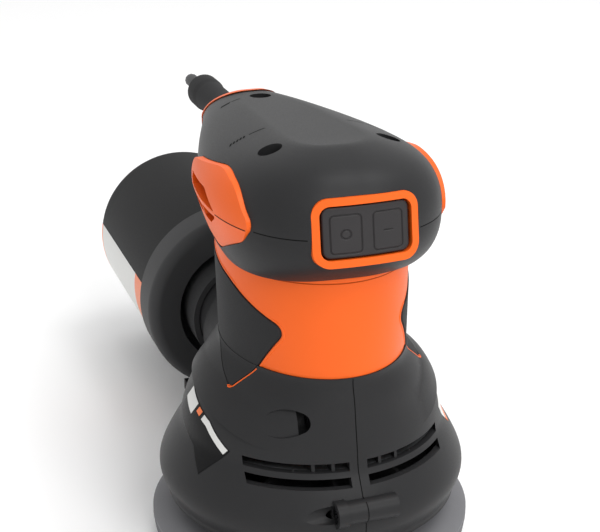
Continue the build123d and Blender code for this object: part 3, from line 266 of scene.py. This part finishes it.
# %% [markdown]
# ## Dressing the CAD nodes
# A CAD mesh arrives as loose triangles. A Weld modifier joins them, smooth faces round off the curved walls,
# and an Edge Split keeps edges sharper than thirty degrees crisp. The mesh itself is not touched.

# %% Which node has which finish
FINISHES = {
    housing_abs: ["left_housing", "right_housing", "head_base", "top_cover", "dust_duct"],
    canister_abs: ["canister_body", "canister_latches"],
    cap_abs: ["canister_cap"],
    orange_abs: ["motor_housing", "switch_frame", "left_vent_upper", "left_vent_lower", "right_vent_upper",
                 "right_vent_lower", "rear_collar"],
    grip_rubber: ["left_grip", "right_grip", "pad_seal", "canister_seal", "cord_boot"],
    switch_abs: ["switch_rocker", "switch_body", "cord_clamp", "coil_tie"],
    sheath_rubber: ["cord", "cord_inner_end", "cord_coil", "plug_body"],
    plated_brass: ["plug_pins"],
    pad_nylon: ["pad_plate"],
    pad_foam: ["pad_foam"],
    hook_cloth: ["pad_hook_face"],
    black_steel: ["pad_screws", "housing_screws", "top_cover_screws", "clamp_screws"],
    ground_steel: ["motor_shaft", "pad_bearing", "lower_bearing", "upper_bearing", "pad_spindle",
                   "brush_springs"],
    core_steel: ["armature_core", "stator_core"],
    copper_wire: ["armature_windings", "field_coils", "commutator"],
    carbon_block: ["carbon_brushes"],
    stamped_brass: ["brush_holders"],
    cast_aluminium: ["bearing_plate"],
    fan_nylon: ["fan", "brush_carrier"],
    capacitor_case: ["capacitor"],
    filter_paper: ["canister_filter"],
}
dressed = sum(len(names) for names in FINISHES.values())
print("dressed", dressed, "of", len(nodes))

# %% Dress the nodes
SHARP = math.radians(30)
WELD_MM = 0.002


def finish_faces(piece, material):
    """Give a piece its material and smooth faces."""
    piece.data.materials.clear()
    piece.data.materials.append(material)
    piece.data.polygons.foreach_set("use_smooth", np.ones(len(piece.data.polygons), bool))


for material, names in FINISHES.items():
    for name in names:
        finish_faces(nodes[name], material)
        weld = nodes[name].modifiers.new("weld", "WELD")
        weld.merge_threshold = WELD_MM * MM
        split = nodes[name].modifiers.new("crisp_edges", "EDGE_SPLIT")
        split.split_angle = SHARP
print("sharp edges over", round(math.degrees(SHARP)), "degrees")

# %% [markdown]
# ## The cord
# A mains lead is stiff rubber about six millimetres thick. It leaves the boot straight, falls in one easy
# curve behind the tool, and the rest of it is put away in a coil of two layers held by a tie. One NURBS
# curve of order three follows the same points as the solid cord. Each half turn of the coil adds six points
# on a circle drawn a little large, because such a curve runs through the middles of its sides.

# %% The cord's route
CORD_R = 3.1 * MM
ROUTE = np.array([(0, 147, 142), (0, 176, 142), (15, 197, 127), (35, 205, 110), (52, 214, 88), (64, 227, 65),
                  (78, 239, 44), (98, 226, 16), (106, 190, 11.1)]) * MM
print("route points", len(ROUTE))

# %% The coil's half turns
COIL_CENTRE = np.array([57.4, 169.0]) * MM
COIL_STEP = 6.8 * MM
COIL_LOW = 4.3 * MM
COIL_HIGH = COIL_LOW + COIL_STEP
COIL_START_R = 41.8 * MM
COIL_EXIT_R = 48.6 * MM
COIL_IN = 5
COIL_OUT = 6
HALF_POINTS = 6
POINT_TURN = 180 / HALF_POINTS
COIL_EAST = COIL_CENTRE[0] + COIL_EXIT_R


def half_turn(east_or_west, radius, side, height_from, height_to):
    """Points of a half turn at 15, 45 to 165 degrees, on a circle larger by one over cos 15 degrees."""
    angle = np.radians(POINT_TURN * (np.arange(HALF_POINTS) + 0.5))
    drawn = radius / math.cos(math.radians(POINT_TURN / 2))
    centre = east_or_west + side * radius
    ease = np.linspace(0, 1, HALF_POINTS)
    x = centre - side * drawn * np.cos(angle)
    y = COIL_CENTRE[1] + side * drawn * np.sin(angle)
    z = height_from + (height_to - height_from) * ease * ease * (3 - 2 * ease)
    return np.column_stack([x, y, z])


def coil_points():
    """Half turns that wind in on the upper layer, go down, and wind out on the lower one."""
    radii = [COIL_START_R - i * COIL_STEP / 2 for i in range(COIL_IN + 1)]
    radii += [radii[-1] + (i + 1) * COIL_STEP / 2 for i in range(COIL_OUT)]
    place = COIL_EAST
    side = -1
    turns = []
    for i, radius in enumerate(radii):
        height_from = COIL_HIGH if i <= COIL_IN else COIL_LOW
        height_to = COIL_HIGH if i < COIL_IN else COIL_LOW
        turns.append(half_turn(place, radius, side, height_from, height_to))
        place += side * 2 * radius
        side = -side
    return np.vstack(turns)


# %% The lead to the plug
EXIT_TURN = math.radians(65)
EXIT_POINTS = 3
PLUG_Z = 7.0 * MM
PLUG_RUNS = np.array([12.0, 32.0, 38.2]) * MM


def plug_lead():
    """From the coil's outer turn to the plug: points of an arc drawn a little large, then a straight lead."""
    angle = EXIT_TURN * (2 * np.arange(EXIT_POINTS) + 1) / (2 * EXIT_POINTS)
    drawn = COIL_EXIT_R / math.cos(EXIT_TURN / (2 * EXIT_POINTS))
    arc = COIL_CENTRE + drawn * np.column_stack([np.cos(angle), -np.sin(angle)])
    leave = COIL_CENTRE + COIL_EXIT_R * np.array([math.cos(EXIT_TURN), -math.sin(EXIT_TURN)])
    away = np.array([-math.sin(EXIT_TURN), -math.cos(EXIT_TURN)])
    along = leave + PLUG_RUNS[:, None] * away
    heights = [COIL_LOW] * (EXIT_POINTS + 1) + [PLUG_Z, PLUG_Z]
    return np.column_stack([np.vstack([arc, along]), heights])


cord_points = np.vstack([ROUTE, coil_points(), plug_lead()])
print("cord points", len(cord_points))

# %% The cord's curve
CORD_BEVEL = 4
CORD_STEPS = 6

cord_data = bpy.data.curves.new("mains_cord", "CURVE")
cord_data.dimensions = "3D"
cord_data.bevel_depth = CORD_R
cord_data.bevel_resolution = CORD_BEVEL
cord_data.resolution_u = CORD_STEPS
spline = cord_data.splines.new("NURBS")
spline.points.add(len(cord_points) - 1)
spline.points.foreach_set("co", np.column_stack([cord_points, np.ones(len(cord_points))]).ravel())
spline.order_u = 3
spline.use_endpoint_u = True
cord_data.materials.append(sheath_rubber)
mains_cord = bpy.data.objects.new("mains_cord", cord_data)
bpy.context.scene.collection.objects.link(mains_cord)
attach(mains_cord, "housing")
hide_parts("cord", "cord_coil")
print("cord length", round(spline.calc_length(), 4))

# %% [markdown]
# ## Small surface pieces
# The details are thin sheets that lie on the CAD surfaces. Each is a grid of points worked out as one array.
# Where the surface has a formula, the grid uses it. Where it does not, the grid starts outside the tool, and
# a Shrinkwrap modifier carries it along one axis on to the CAD node and stops a hair above it.

# %% From grids to a mesh
def mesh_grid(first, second):
    """Two value rows spread over a grid: rows follow the first, columns the second."""
    return np.meshgrid(first, second, indexing="ij")


def patches(name, points, material, body, flip=False):
    """Mesh of grids from an array of (patch, row, column, xyz) in mm: one face a cell, flip turns it."""
    points = points[:, :, ::-1] if flip else points
    count, rows, columns, _ = points.shape
    corner = np.arange(count * rows * columns).reshape(count, rows, columns)
    faces = np.stack([corner[:, :-1, :-1], corner[:, 1:, :-1],
                      corner[:, 1:, 1:], corner[:, :-1, 1:]], axis=-1)
    mesh = bpy.data.meshes.new(name)
    mesh.from_pydata((points.reshape(-1, 3) * MM).tolist(), [], faces.reshape(-1, 4).tolist())
    piece = bpy.data.objects.new(name, mesh)
    bpy.context.scene.collection.objects.link(piece)
    finish_faces(piece, material)
    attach(piece, body)
    print(name, "faces", len(mesh.polygons))
    return piece


# %% From the outside on to a shell
START_SIDE = 90.0
START_FRONT = -75.0
START_HIGH = 175.0
SIDES = ((-1, "left"), (1, "right"))


def lay_on(piece, target, axis, sign, lift_mm, sheet_mm=0.0):
    """Carry a piece along one axis on to a CAD node, hold it a hair above, and give it a thickness."""
    wrap = piece.modifiers.new("lay_on", "SHRINKWRAP")
    wrap.wrap_method = "PROJECT"
    wrap.wrap_mode = "ABOVE_SURFACE"
    wrap.target = nodes[target]
    wrap.use_project_x = axis == "X"
    wrap.use_project_y = axis == "Y"
    wrap.use_project_z = axis == "Z"
    wrap.use_positive_direction = sign > 0
    wrap.use_negative_direction = sign < 0
    wrap.offset = lift_mm * MM
    if sheet_mm:
        film = piece.modifiers.new("film", "SOLIDIFY")
        film.thickness = sheet_mm * MM
        film.offset = 0.0


# %% [markdown]
# ## Switch rocker
# The rocker is one panel with two keys pressed into it. Its face is a cylinder like the nose, leaning back
# with it. Cutting the keys with booleans would leave sharp edges, so the relief is a height over that face:
# the border rolls down, a groove runs round each key, and a ring and a bar are engraved for off and on. The
# distance to a rounded rectangle decides where a groove runs.

# %% Distances and grooves
GROOVE_W = 0.24
GROOVE_D = 0.42


def rounded_distance(x, z, half_x, half_z, corner):
    """Signed distance to a rounded rectangle, below nought inside it."""
    over_x = np.abs(x) - half_x + corner
    over_z = np.abs(z) - half_z + corner
    outside = np.hypot(np.maximum(over_x, 0), np.maximum(over_z, 0))
    return outside + np.minimum(np.maximum(over_x, over_z), 0) - corner


def groove(distance):
    """Depth of a round-bottomed groove where a distance is near nought."""
    return GROOVE_D * np.exp(-(distance / GROOVE_W) ** 2)


# %% The leaning nose
FRAME_Y = -54.2
FRAME_Z = 143.3
FRAME_LEAN = math.radians(9)
NOSE_R = 69.0


def nose_point(x, rise, out):
    """Point on the leaning nose: a cylinder of its radius plus out, tipped back about the frame's middle."""
    y = NOSE_R - np.sqrt((NOSE_R + out) ** 2 - x ** 2)
    c = math.cos(FRAME_LEAN)
    s = math.sin(FRAME_LEAN)
    return np.stack([x, FRAME_Y + y * c + rise * s, FRAME_Z - y * s + rise * c], axis=-1)


# %% The rocker's face
FACE_OUT = 0.2
FACE_W = 31.0
FACE_H = 17.4
FACE_CORNER = 2.6
FACE_LIFT = 0.55
FACE_ROLL = 0.7
FACE_COLUMNS = 301
FACE_ROWS = 181
KEY_HALF = (5.4, 6.5)
KEY_X = 7.5
KEY_Z = -0.7
KEY_CORNER = 1.4
MARK_R = 1.5
MARK_WIDER = 1.15
BAR_HALF = 1.6


def rocker_face():
    """Rounded panel as a grid whose rows narrow at the corners, with the relief added outwards."""
    share, rise = mesh_grid(np.linspace(-1, 1, FACE_COLUMNS), np.linspace(-FACE_H / 2, FACE_H / 2, FACE_ROWS))
    into = np.maximum(np.abs(rise) - FACE_H / 2 + FACE_CORNER, 0)
    half = FACE_W / 2 - FACE_CORNER + np.sqrt(FACE_CORNER ** 2 - into ** 2)
    x = share * half
    border = rounded_distance(x, rise, FACE_W / 2, FACE_H / 2, FACE_CORNER)
    edge = np.clip(1 + border / FACE_ROLL, 0, 1)
    relief = FACE_LIFT * np.sqrt(1 - edge ** 2)
    for side in (-1, 1):
        relief -= groove(rounded_distance(x - side * KEY_X, rise - KEY_Z, *KEY_HALF, KEY_CORNER))
    ring = np.hypot((x + KEY_X) / MARK_WIDER, rise - KEY_Z) - MARK_R
    bar = np.hypot(np.maximum(np.abs(x - KEY_X) - BAR_HALF, 0), rise - KEY_Z)
    relief -= groove(ring) + groove(bar)
    return nose_point(x, rise, FACE_OUT + relief)[None]


patches("rocker_keys", rocker_face(), switch_abs, "switch")

# %% [markdown]
# ## Parting lines
# Two mouldings never meet perfectly: a dark line shows at the joint. One runs round the head where the cover
# meets the base, and one down the middle of the lower housing. A true gap would be too fine to show, so a
# dark strip under half a millimetre wide is laid along each joint.

# %% Seams of the head
PART_Z = 141.0
HEAD_HALF_W = 40.5
HEAD_NOSE = 51.0
WIDEST_Y = -5.0
PLAN_POWER = 2.6
TAPER = 0.335
TAPER_BLEND = 26.0
STRIP_OUT = 6.0
SEAM_W = 0.42
SEAM_EDGE = 0.02
SEAM_LIFT = 0.03
SEAM_STEPS = 80
SEAM_ROWS = 3
NOSE_SEAM = (-52.6, -38.4)
VENT_SEAM = (-36.6, -17.4)
TAIL_SEAM = (24.0, 96.0)


def head_half_width(y):
    """Half width of the head at its parting line: a superellipse nose, then a straight taper."""
    reach = np.clip((WIDEST_Y - y) / HEAD_NOSE, 0, 1)
    nose = HEAD_HALF_W * (1 - reach ** PLAN_POWER) ** (1 / PLAN_POWER)
    run = np.maximum(y - WIDEST_Y, 0)
    tail = HEAD_HALF_W - TAPER * (np.hypot(run, TAPER_BLEND) - TAPER_BLEND)
    return np.where(y <= WIDEST_Y, nose, tail)


def side_strip(reach, side):
    """Level strip along one side of the head, just above the parting line and a little outside the shell."""
    heights = np.linspace(PART_Z + SEAM_EDGE, PART_Z + SEAM_W, SEAM_ROWS)
    y, z = mesh_grid(np.linspace(*reach, SEAM_STEPS), heights)
    return np.stack([side * (head_half_width(y) + STRIP_OUT), y, z], axis=-1)


for side, word in SIDES:
    strips = np.stack([side_strip(NOSE_SEAM, side), side_strip(TAIL_SEAM, side)])
    head_seam = patches(f"{word}_head_seam", strips, seam_shadow, "housing", flip=side < 0)
    lay_on(head_seam, "top_cover", "X", -side, SEAM_LIFT)
    strip = side_strip(VENT_SEAM, side)[None]
    vent_seam = patches(f"{word}_vent_seam", strip, seam_shadow, "housing", flip=side < 0)
    lay_on(vent_seam, f"{word}_vent_upper", "X", -side, SEAM_LIFT)

# %% Seam of the lower housing
HOUSING_SEAM = (21.6, 83.6)

heights = np.linspace(*HOUSING_SEAM, 2 * SEAM_STEPS)
seam_x, seam_z = mesh_grid(np.linspace(-SEAM_W, -SEAM_EDGE, SEAM_ROWS), heights)
seam = np.stack([seam_x, np.full_like(seam_x, START_FRONT), seam_z], axis=-1)[None]
housing_seam = patches("housing_seam", seam, seam_shadow, "housing")
lay_on(housing_seam, "left_housing", "Y", 1, SEAM_LIFT)

# %% [markdown]
# ## Ticks on the cover
# Small engraved ticks and a dash stand beside the screws of the cover. They are too shallow to cut, so each
# is a narrow dark strip of painted shade, standing in for the shadow inside the engraving, drawn in plan and
# dropped on to the cover.

# %% Engraved ticks
TICK_W = 0.75
TICK_L = 2.4
TICKS = 5
TICKS_SHARE = 0.48
TICK_SLANT = (0.8, 0.6)
DASH_MIDDLE = 0.76
DASH_SHARE = 0.46
TICK_STEPS = 14
TICK_ROWS = 3
FRONT_ROW = ((-29.5, 3.6), (-15.7, 5.8))
REAR_ROW = ((-16.5, 58.5), (-8.6, 59.4))


def tick_row(start, end, mirror):
    """A row of short ticks and then a dash between two plan points: narrow grids across it and along it."""
    start = np.array(start)
    run = np.array(end) - start
    along = run / np.linalg.norm(run)
    across = np.array([-along[1], along[0]])
    slant = across * TICK_SLANT[0] + along * TICK_SLANT[1]
    shares = np.arange(TICKS) / TICKS * TICKS_SHARE
    middles = np.vstack([start + shares[:, None] * run, start + DASH_MIDDLE * run])
    ways = np.vstack([np.tile(slant, (TICKS, 1)), along])
    lengths = np.append(np.full(TICKS, TICK_L), DASH_SHARE * np.linalg.norm(run))
    sides = np.stack([-ways[:, 1], ways[:, 0]], axis=-1)
    u, v = mesh_grid(np.linspace(-0.5, 0.5, TICK_STEPS), np.linspace(-0.5, 0.5, TICK_ROWS))
    plan = (middles[:, None, None] + u[None, ..., None] * (ways * lengths[:, None])[:, None, None]
            + v[None, ..., None] * TICK_W * sides[:, None, None])
    plan = (plan * np.array([mirror, 1]))[:, :, ::mirror]
    return np.concatenate([plan, np.full((*plan.shape[:3], 1), START_HIGH)], axis=-1)


ticks = np.concatenate([tick_row(*FRONT_ROW, 1), tick_row(*FRONT_ROW, -1), tick_row(*REAR_ROW, 1)])
# Painted shade: the ticks are dark strips in the joint's near-black.
cover_ticks = patches("cover_ticks", ticks, seam_shadow, "housing")
lay_on(cover_ticks, "top_cover", "Z", -1, SEAM_LIFT)

# %% [markdown]
# ## Neck lip
# Below the head the orange neck ends in a lip two millimetres high. Under it a band of darker orange is
# painted shadow, standing in for the shade below the lip. The neck is an oval that changes evenly with
# height, so the lip is a bulge carried round that oval.

# %% Neck lip and its line
NECK_FOOT = np.array([84.0, 33.9, 44.0])
NECK_TOP = np.array([122.0, 35.2, 42.3])
LIP_TOP = 121.9
LIP_OUT = 0.5
LIP_H = 2.0
LIP_POWER = 4
LIP_TURN = (-152, -28)
LIP_STEPS = 160
LIP_ROWS = 9
LINE_H = 0.45
LINE_OUT = 0.06


def oval_between(low, high, z):
    """Half widths in X and Y at a height between two ovals, each (z, half X, half Y)."""
    share = (z - low[0]) / (high[0] - low[0])
    return low[1] + (high[1] - low[1]) * share, low[2] + (high[2] - low[2]) * share


def neck_band(top, height, bulge):
    """Band on the front of the neck's oval, from a height downwards, standing out by the bulge."""
    turn, row = mesh_grid(np.radians(np.linspace(*LIP_TURN, LIP_STEPS)), np.linspace(0, 1, LIP_ROWS))
    z = top - height * row
    half_x, half_y = oval_between(NECK_FOOT, NECK_TOP, z)
    out = bulge(row)
    return np.stack([(half_x + out) * np.cos(turn), (half_y + out) * np.sin(turn), z], axis=-1)[None]


def half_round(row):
    """Bulge of the lip: flat in the middle, rolled in at both edges."""
    return LIP_OUT * np.sqrt(np.clip(1 - (2 * row - 1) ** LIP_POWER, 0, 1))


lip = neck_band(LIP_TOP, LIP_H, half_round)
patches("neck_lip", lip, orange_abs, "housing", flip=True)
# Painted shadow under the lip: a narrow band of darker orange, not cut into the neck.
lip_line = neck_band(LIP_TOP - LIP_H, LINE_H, lambda row: LINE_OUT)
patches("neck_lip_painted_shadow", lip_line, orange_painted_shade, "housing", flip=True)

# %% [markdown]
# ## Rims of the grips
# A rubber grip is moulded over the neck, and the neck has a thin raised rim along the grip's front edge. The
# edge is drawn in side view as straight runs with rounded corners. A half-round profile beside it is then
# laid on the neck's oval, which a formula does more evenly than a projection on so steep a wall.

# %% Front edge of a grip
GRIP_REAR = np.array([36.0, 124.0])
GRIP_BEND = np.array([-8.0, 113.0])
GRIP_BEND_R = 40.0
GRIP_TIP = np.array([-34.0, 101.0])
GRIP_TIP_R = 4.0
GRIP_FOOT = np.array([-23.4, 84.0])
RIM_TOP_SHARE = 0.45
RIM_FOOT_SHARE = 0.97
ARC_STEPS = 40
RUN_STEPS = 20


def rounded_corner(before, corner, after, radius):
    """Arc that touches both straight runs of a corner, from its tangent point on the first to the second."""
    into = (corner - before) / np.linalg.norm(corner - before)
    away = (after - corner) / np.linalg.norm(after - corner)
    turn = math.acos(into @ away)
    inward = away - (into @ away) * into
    inward /= np.linalg.norm(inward)
    centre = corner - into * radius * math.tan(turn / 2) + inward * radius
    angle = np.linspace(0, turn, ARC_STEPS)[:, None]
    return centre + radius * (np.sin(angle) * into - np.cos(angle) * inward)


def grip_edge():
    """Front edge of a grip in side view: a run, the bend's arc, the tip's arc and a run, as points."""
    top = GRIP_REAR + RIM_TOP_SHARE * (GRIP_BEND - GRIP_REAR)
    foot = GRIP_TIP + RIM_FOOT_SHARE * (GRIP_FOOT - GRIP_TIP)
    bend = rounded_corner(GRIP_REAR, GRIP_BEND, GRIP_TIP, GRIP_BEND_R)
    tip = rounded_corner(GRIP_BEND, GRIP_TIP, GRIP_FOOT, GRIP_TIP_R)
    upper = np.linspace(top, bend[0], RUN_STEPS)[:-1]
    lower = np.linspace(tip[-1], foot, RUN_STEPS)[1:]
    return np.vstack([upper, bend, tip, lower])


GRIP_EDGE = grip_edge()
print("points on a grip's edge", len(GRIP_EDGE))

# %% Rims beside the edges
RIM_GAP = 0.4
RIM_W = 0.9
RIM_OUT = 0.3
RIM_ROWS = 7


def grip_rim(side):
    """Half-round rim beside a grip's edge: the edge pushed out in side view and laid on the neck's oval."""
    along = np.gradient(GRIP_EDGE, axis=0)
    along /= np.linalg.norm(along, axis=1)[:, None]
    outward = np.stack([along[:, 1], -along[:, 0]], axis=-1)
    share = np.linspace(0, 1, RIM_ROWS)[None, :, None]
    plan = GRIP_EDGE[:, None] + (RIM_GAP + RIM_W * share) * outward[:, None]
    half_x, half_y = oval_between(NECK_FOOT, NECK_TOP, plan[..., 1])
    out = RIM_OUT * np.sqrt(np.clip(1 - (2 * share[..., 0] - 1) ** 2, 0, 1))
    x = (half_x + out) * np.sqrt(1 - (plan[..., 0] / half_y) ** 2)
    return np.stack([side * x, plan[..., 0] * (half_y + out) / half_y, plan[..., 1]], axis=-1)[None]


for side, word in SIDES:
    patches(f"{word}_grip_rim", grip_rim(side), orange_abs, "housing", flip=side > 0)

# %% [markdown]
# ## Borders of the tabs
# Each grip ends in a pointed tab on the housing, with an orange border beside its front edge that turns round
# the tip and thins out. It is drawn in side view as a path with a direction and a width at each point. The
# housing bulges there with no formula, so the border is projected on to it.

# %% Borders of the tabs
TAB_PATH = np.array([(-23.0, 83.3), (-18.2, 75.4), (-17.8, 74.8), (-17.2, 74.7), (-16.4, 75.0)])
TAB_TURN = np.radians([211.0, 211.0, 235.0, 272.0, 290.0])
TAB_WIDTH = np.array([0.75, 0.75, 0.6, 0.45, 0.3])
TAB_GAP = 0.25
TAB_LIFT = 0.06
TAB_STEPS = 81
TAB_ROWS = 4


def tab_border(side):
    """Border of a grip's tab in side view: points beside its edge, from the gap outwards, round the tip."""
    knots = np.arange(len(TAB_PATH))
    at = np.linspace(0, knots[-1], TAB_STEPS)
    turn, share = mesh_grid(np.interp(at, knots, TAB_TURN), np.linspace(0, 1, TAB_ROWS))
    out = TAB_GAP + share * np.interp(at, knots, TAB_WIDTH)[:, None]
    y = np.interp(at, knots, TAB_PATH[:, 0])[:, None] + out * np.cos(turn)
    z = np.interp(at, knots, TAB_PATH[:, 1])[:, None] + out * np.sin(turn)
    return np.stack([np.full_like(y, side * START_SIDE), y, z], axis=-1)[None]


for side, word in SIDES:
    strip = tab_border(side)
    border = patches(f"{word}_tab_border", strip, orange_abs, "housing", flip=side > 0)
    lay_on(border, f"{word}_housing", "X", -side, TAB_LIFT)

# %% [markdown]
# ## Labels
# A label is a film less than a tenth of a millimetre thick, in black, pale grey or orange. A colour in the
# housing's own material would have no edge of its own, so each film is a piece. On the housing a film
# follows the shell, so it is projected on to it. The canister is a plain cylinder, so there the film is a
# formula.

# %% Labels on the housing
LABEL_TOP = np.array([(-28.2, 53.4), (-16.0, 60.4), (6.0, 65.6)])
LABEL_FOOT = np.array([(-20.7, 41.8), (-10.7, 48.6), (12.0, 54.0)])
LABEL_KNOTS = (0, 0.36, 1)
LABEL_STEPS = 40
FILM_T = 0.06
FILM_LIFT = 0.08
UPPER_LIFT = 0.16


def band_patch(side, s0, s1, t0, t1):
    """Part of a label in side view: s runs from front to rear, t from the label's foot up to its top edge."""
    s, t = mesh_grid(np.linspace(s0, s1, LABEL_STEPS), np.linspace(t0, t1, LABEL_STEPS))
    top = np.stack([np.interp(s, LABEL_KNOTS, column) for column in LABEL_TOP.T], axis=-1)
    foot = np.stack([np.interp(s, LABEL_KNOTS, column) for column in LABEL_FOOT.T], axis=-1)
    plan = foot + t[..., None] * (top - foot)
    return np.concatenate([np.full((*s.shape, 1), side * START_SIDE), plan], axis=-1)[None]


def band_label(name, side, reach, material, lift):
    """One film on the band, pressed on to its half of the housing."""
    target = "left_housing" if side < 0 else "right_housing"
    piece = patches(name, band_patch(side, *reach), material, "housing")
    lay_on(piece, target, "X", -side, lift, FILM_T)


# Each film has its side, and its front, rear, foot and top as shares of the band.
band_label("rating_label", -1, (0.0, 1.0, 0.0, 1.0), label_black, FILM_LIFT)
band_label("rating_stripe", -1, (0.02, 0.48, 0.8, 0.98), label_pale, UPPER_LIFT)
band_label("rating_mark", -1, (0.53, 0.62, 0.8, 0.98), label_orange, UPPER_LIFT)
band_label("rating_end", -1, (0.67, 0.97, 0.55, 0.98), label_pale, UPPER_LIFT)
band_label("side_panel", 1, (0.1, 1.0, 0.3, 1.0), label_pale, FILM_LIFT)
band_label("side_stripe", 1, (0.1, 1.0, 0.1, 0.3), label_orange, FILM_LIFT)

# %% Labels on the canister
CANISTER_R = 40.0
CANISTER_Z = 57.0
FILM_OUT = 0.1
FILM_TURN = (-38, 10)
FILM_STEPS = 30
FILM_ROWS = 40
FRONT_BAR_Y = 113.0
PANEL_Y = 127.0
REAR_BAR_Y = 196.0
REAR_BAR_END = 198.0


def canister_film(name, y0, y1, material):
    """Part of the canister's wall between two angles, measured from its left side upwards."""
    turns = np.radians(np.linspace(*FILM_TURN, FILM_ROWS))
    y, angle = mesh_grid(np.linspace(y0, y1, FILM_STEPS), turns)
    r = CANISTER_R + FILM_OUT
    film = np.stack([-r * np.cos(angle), y, CANISTER_Z + r * np.sin(angle)], axis=-1)[None]
    patches(name, film, material, "canister", flip=True)


canister_film("canister_panel", PANEL_Y, REAR_BAR_Y, label_pale)
canister_film("canister_front_bar", FRONT_BAR_Y, PANEL_Y, label_orange)
canister_film("canister_rear_bar", REAR_BAR_Y, REAR_BAR_END, label_orange)

# %% [markdown]
# ## Floor
# The photograph has a white studio. A pale matt floor takes the tool's soft shadow, which seats it.

# %% Floor
FLOOR_SIZE = 6.0
FLOOR_COLOUR = "#fdfdfd"
FLOOR_ROUGHNESS = 0.9

half = FLOOR_SIZE / 2
floor_mesh = bpy.data.meshes.new("floor")
floor_mesh.from_pydata([(-half, -half, 0), (half, -half, 0), (half, half, 0), (-half, half, 0)],
                       [], [(0, 1, 2, 3)])
floor = bpy.data.objects.new("floor", floor_mesh)
bpy.context.scene.collection.objects.link(floor)
floor_material, _, floor_shader, _ = new_material("pale_floor")
floor_shader.inputs["Base Color"].default_value = linear(FLOOR_COLOUR)
floor_shader.inputs["Roughness"].default_value = FLOOR_ROUGHNESS
floor_mesh.materials.append(floor_material)
print("floor", FLOOR_SIZE)

# %% [markdown]
# ## Light
# The world lights the tool from all sides at a plain level, a little brighter from above and from the right.
# To the camera, and in reflections, it shows as plain white. Two soft lamps, one in front and one above,
# stand a little to the right and shape the rounded forms.

# %% World
WHITE = (1, 1, 1, 1)
SKY_LOW = 0.6
SKY_HIGH = 1.15
SKY_LEFT = 0.7
SKY_RIGHT = 1.1

world = bpy.data.worlds.new("studio")
bpy.context.scene.world = world
world.use_nodes = True
sky = world.node_tree
sky.nodes.clear()
path = add(sky, "ShaderNodeLightPath").outputs
way = add(sky, "ShaderNodeTexCoord").outputs["Generated"]
parts = add(sky, "ShaderNodeSeparateXYZ", {0: way}).outputs
level = add(sky, "ShaderNodeMapRange", {"Value": parts["Z"], "To Min": SKY_LOW, "To Max": SKY_HIGH})
aside = add(sky, "ShaderNodeMapRange", {"Value": parts["X"], "From Min": -1.0, "To Min": SKY_LEFT,
                                        "To Max": SKY_RIGHT})
light = add(sky, "ShaderNodeMath", {0: level.outputs["Result"], 1: aside.outputs["Result"]},
            operation="MULTIPLY")
plain = add(sky, "ShaderNodeBackground", {"Color": WHITE, "Strength": light.outputs["Value"]})
white = add(sky, "ShaderNodeBackground", {"Color": WHITE, "Strength": 1.0})
mirror = add(sky, "ShaderNodeMath", {0: path["Is Glossy Ray"], 1: path["Is Transmission Ray"]})
shown = add(sky, "ShaderNodeMath", {0: path["Is Camera Ray"], 1: mirror.outputs[0]}, use_clamp=True)
seen = add(sky, "ShaderNodeMixShader", {0: shown.outputs[0], 1: plain.outputs[0], 2: white.outputs[0]})
add(sky, "ShaderNodeOutputWorld", {"Surface": seen.outputs[0]})
print("world nodes", len(sky.nodes))

# %% Lamps
LAMP_AIM = (0.0, 0.0, 0.1)
KEY_PLACE = (0.2, -1.0, 0.9)
KEY_SIZE = 0.7
KEY_POWER = 7.0
TOP_PLACE = (0.4, -0.2, 1.3)
TOP_SIZE = 0.5
TOP_POWER = 5.0


def softbox(name, place, size, power):
    """A square area lamp that looks at the tool."""
    lamp = bpy.data.lights.new(name, "AREA")
    lamp.size = size
    lamp.energy = power
    holder = bpy.data.objects.new(name, lamp)
    holder.location = place
    holder.rotation_euler = (Vector(LAMP_AIM) - Vector(place)).to_track_quat("-Z", "Y").to_euler()
    bpy.context.scene.collection.objects.link(holder)


softbox("key_light", KEY_PLACE, KEY_SIZE, KEY_POWER)
softbox("top_light", TOP_PLACE, TOP_SIZE, TOP_POWER)
bpy.context.scene.view_settings.view_transform = "Standard"
print("lamps", len(bpy.data.lights))
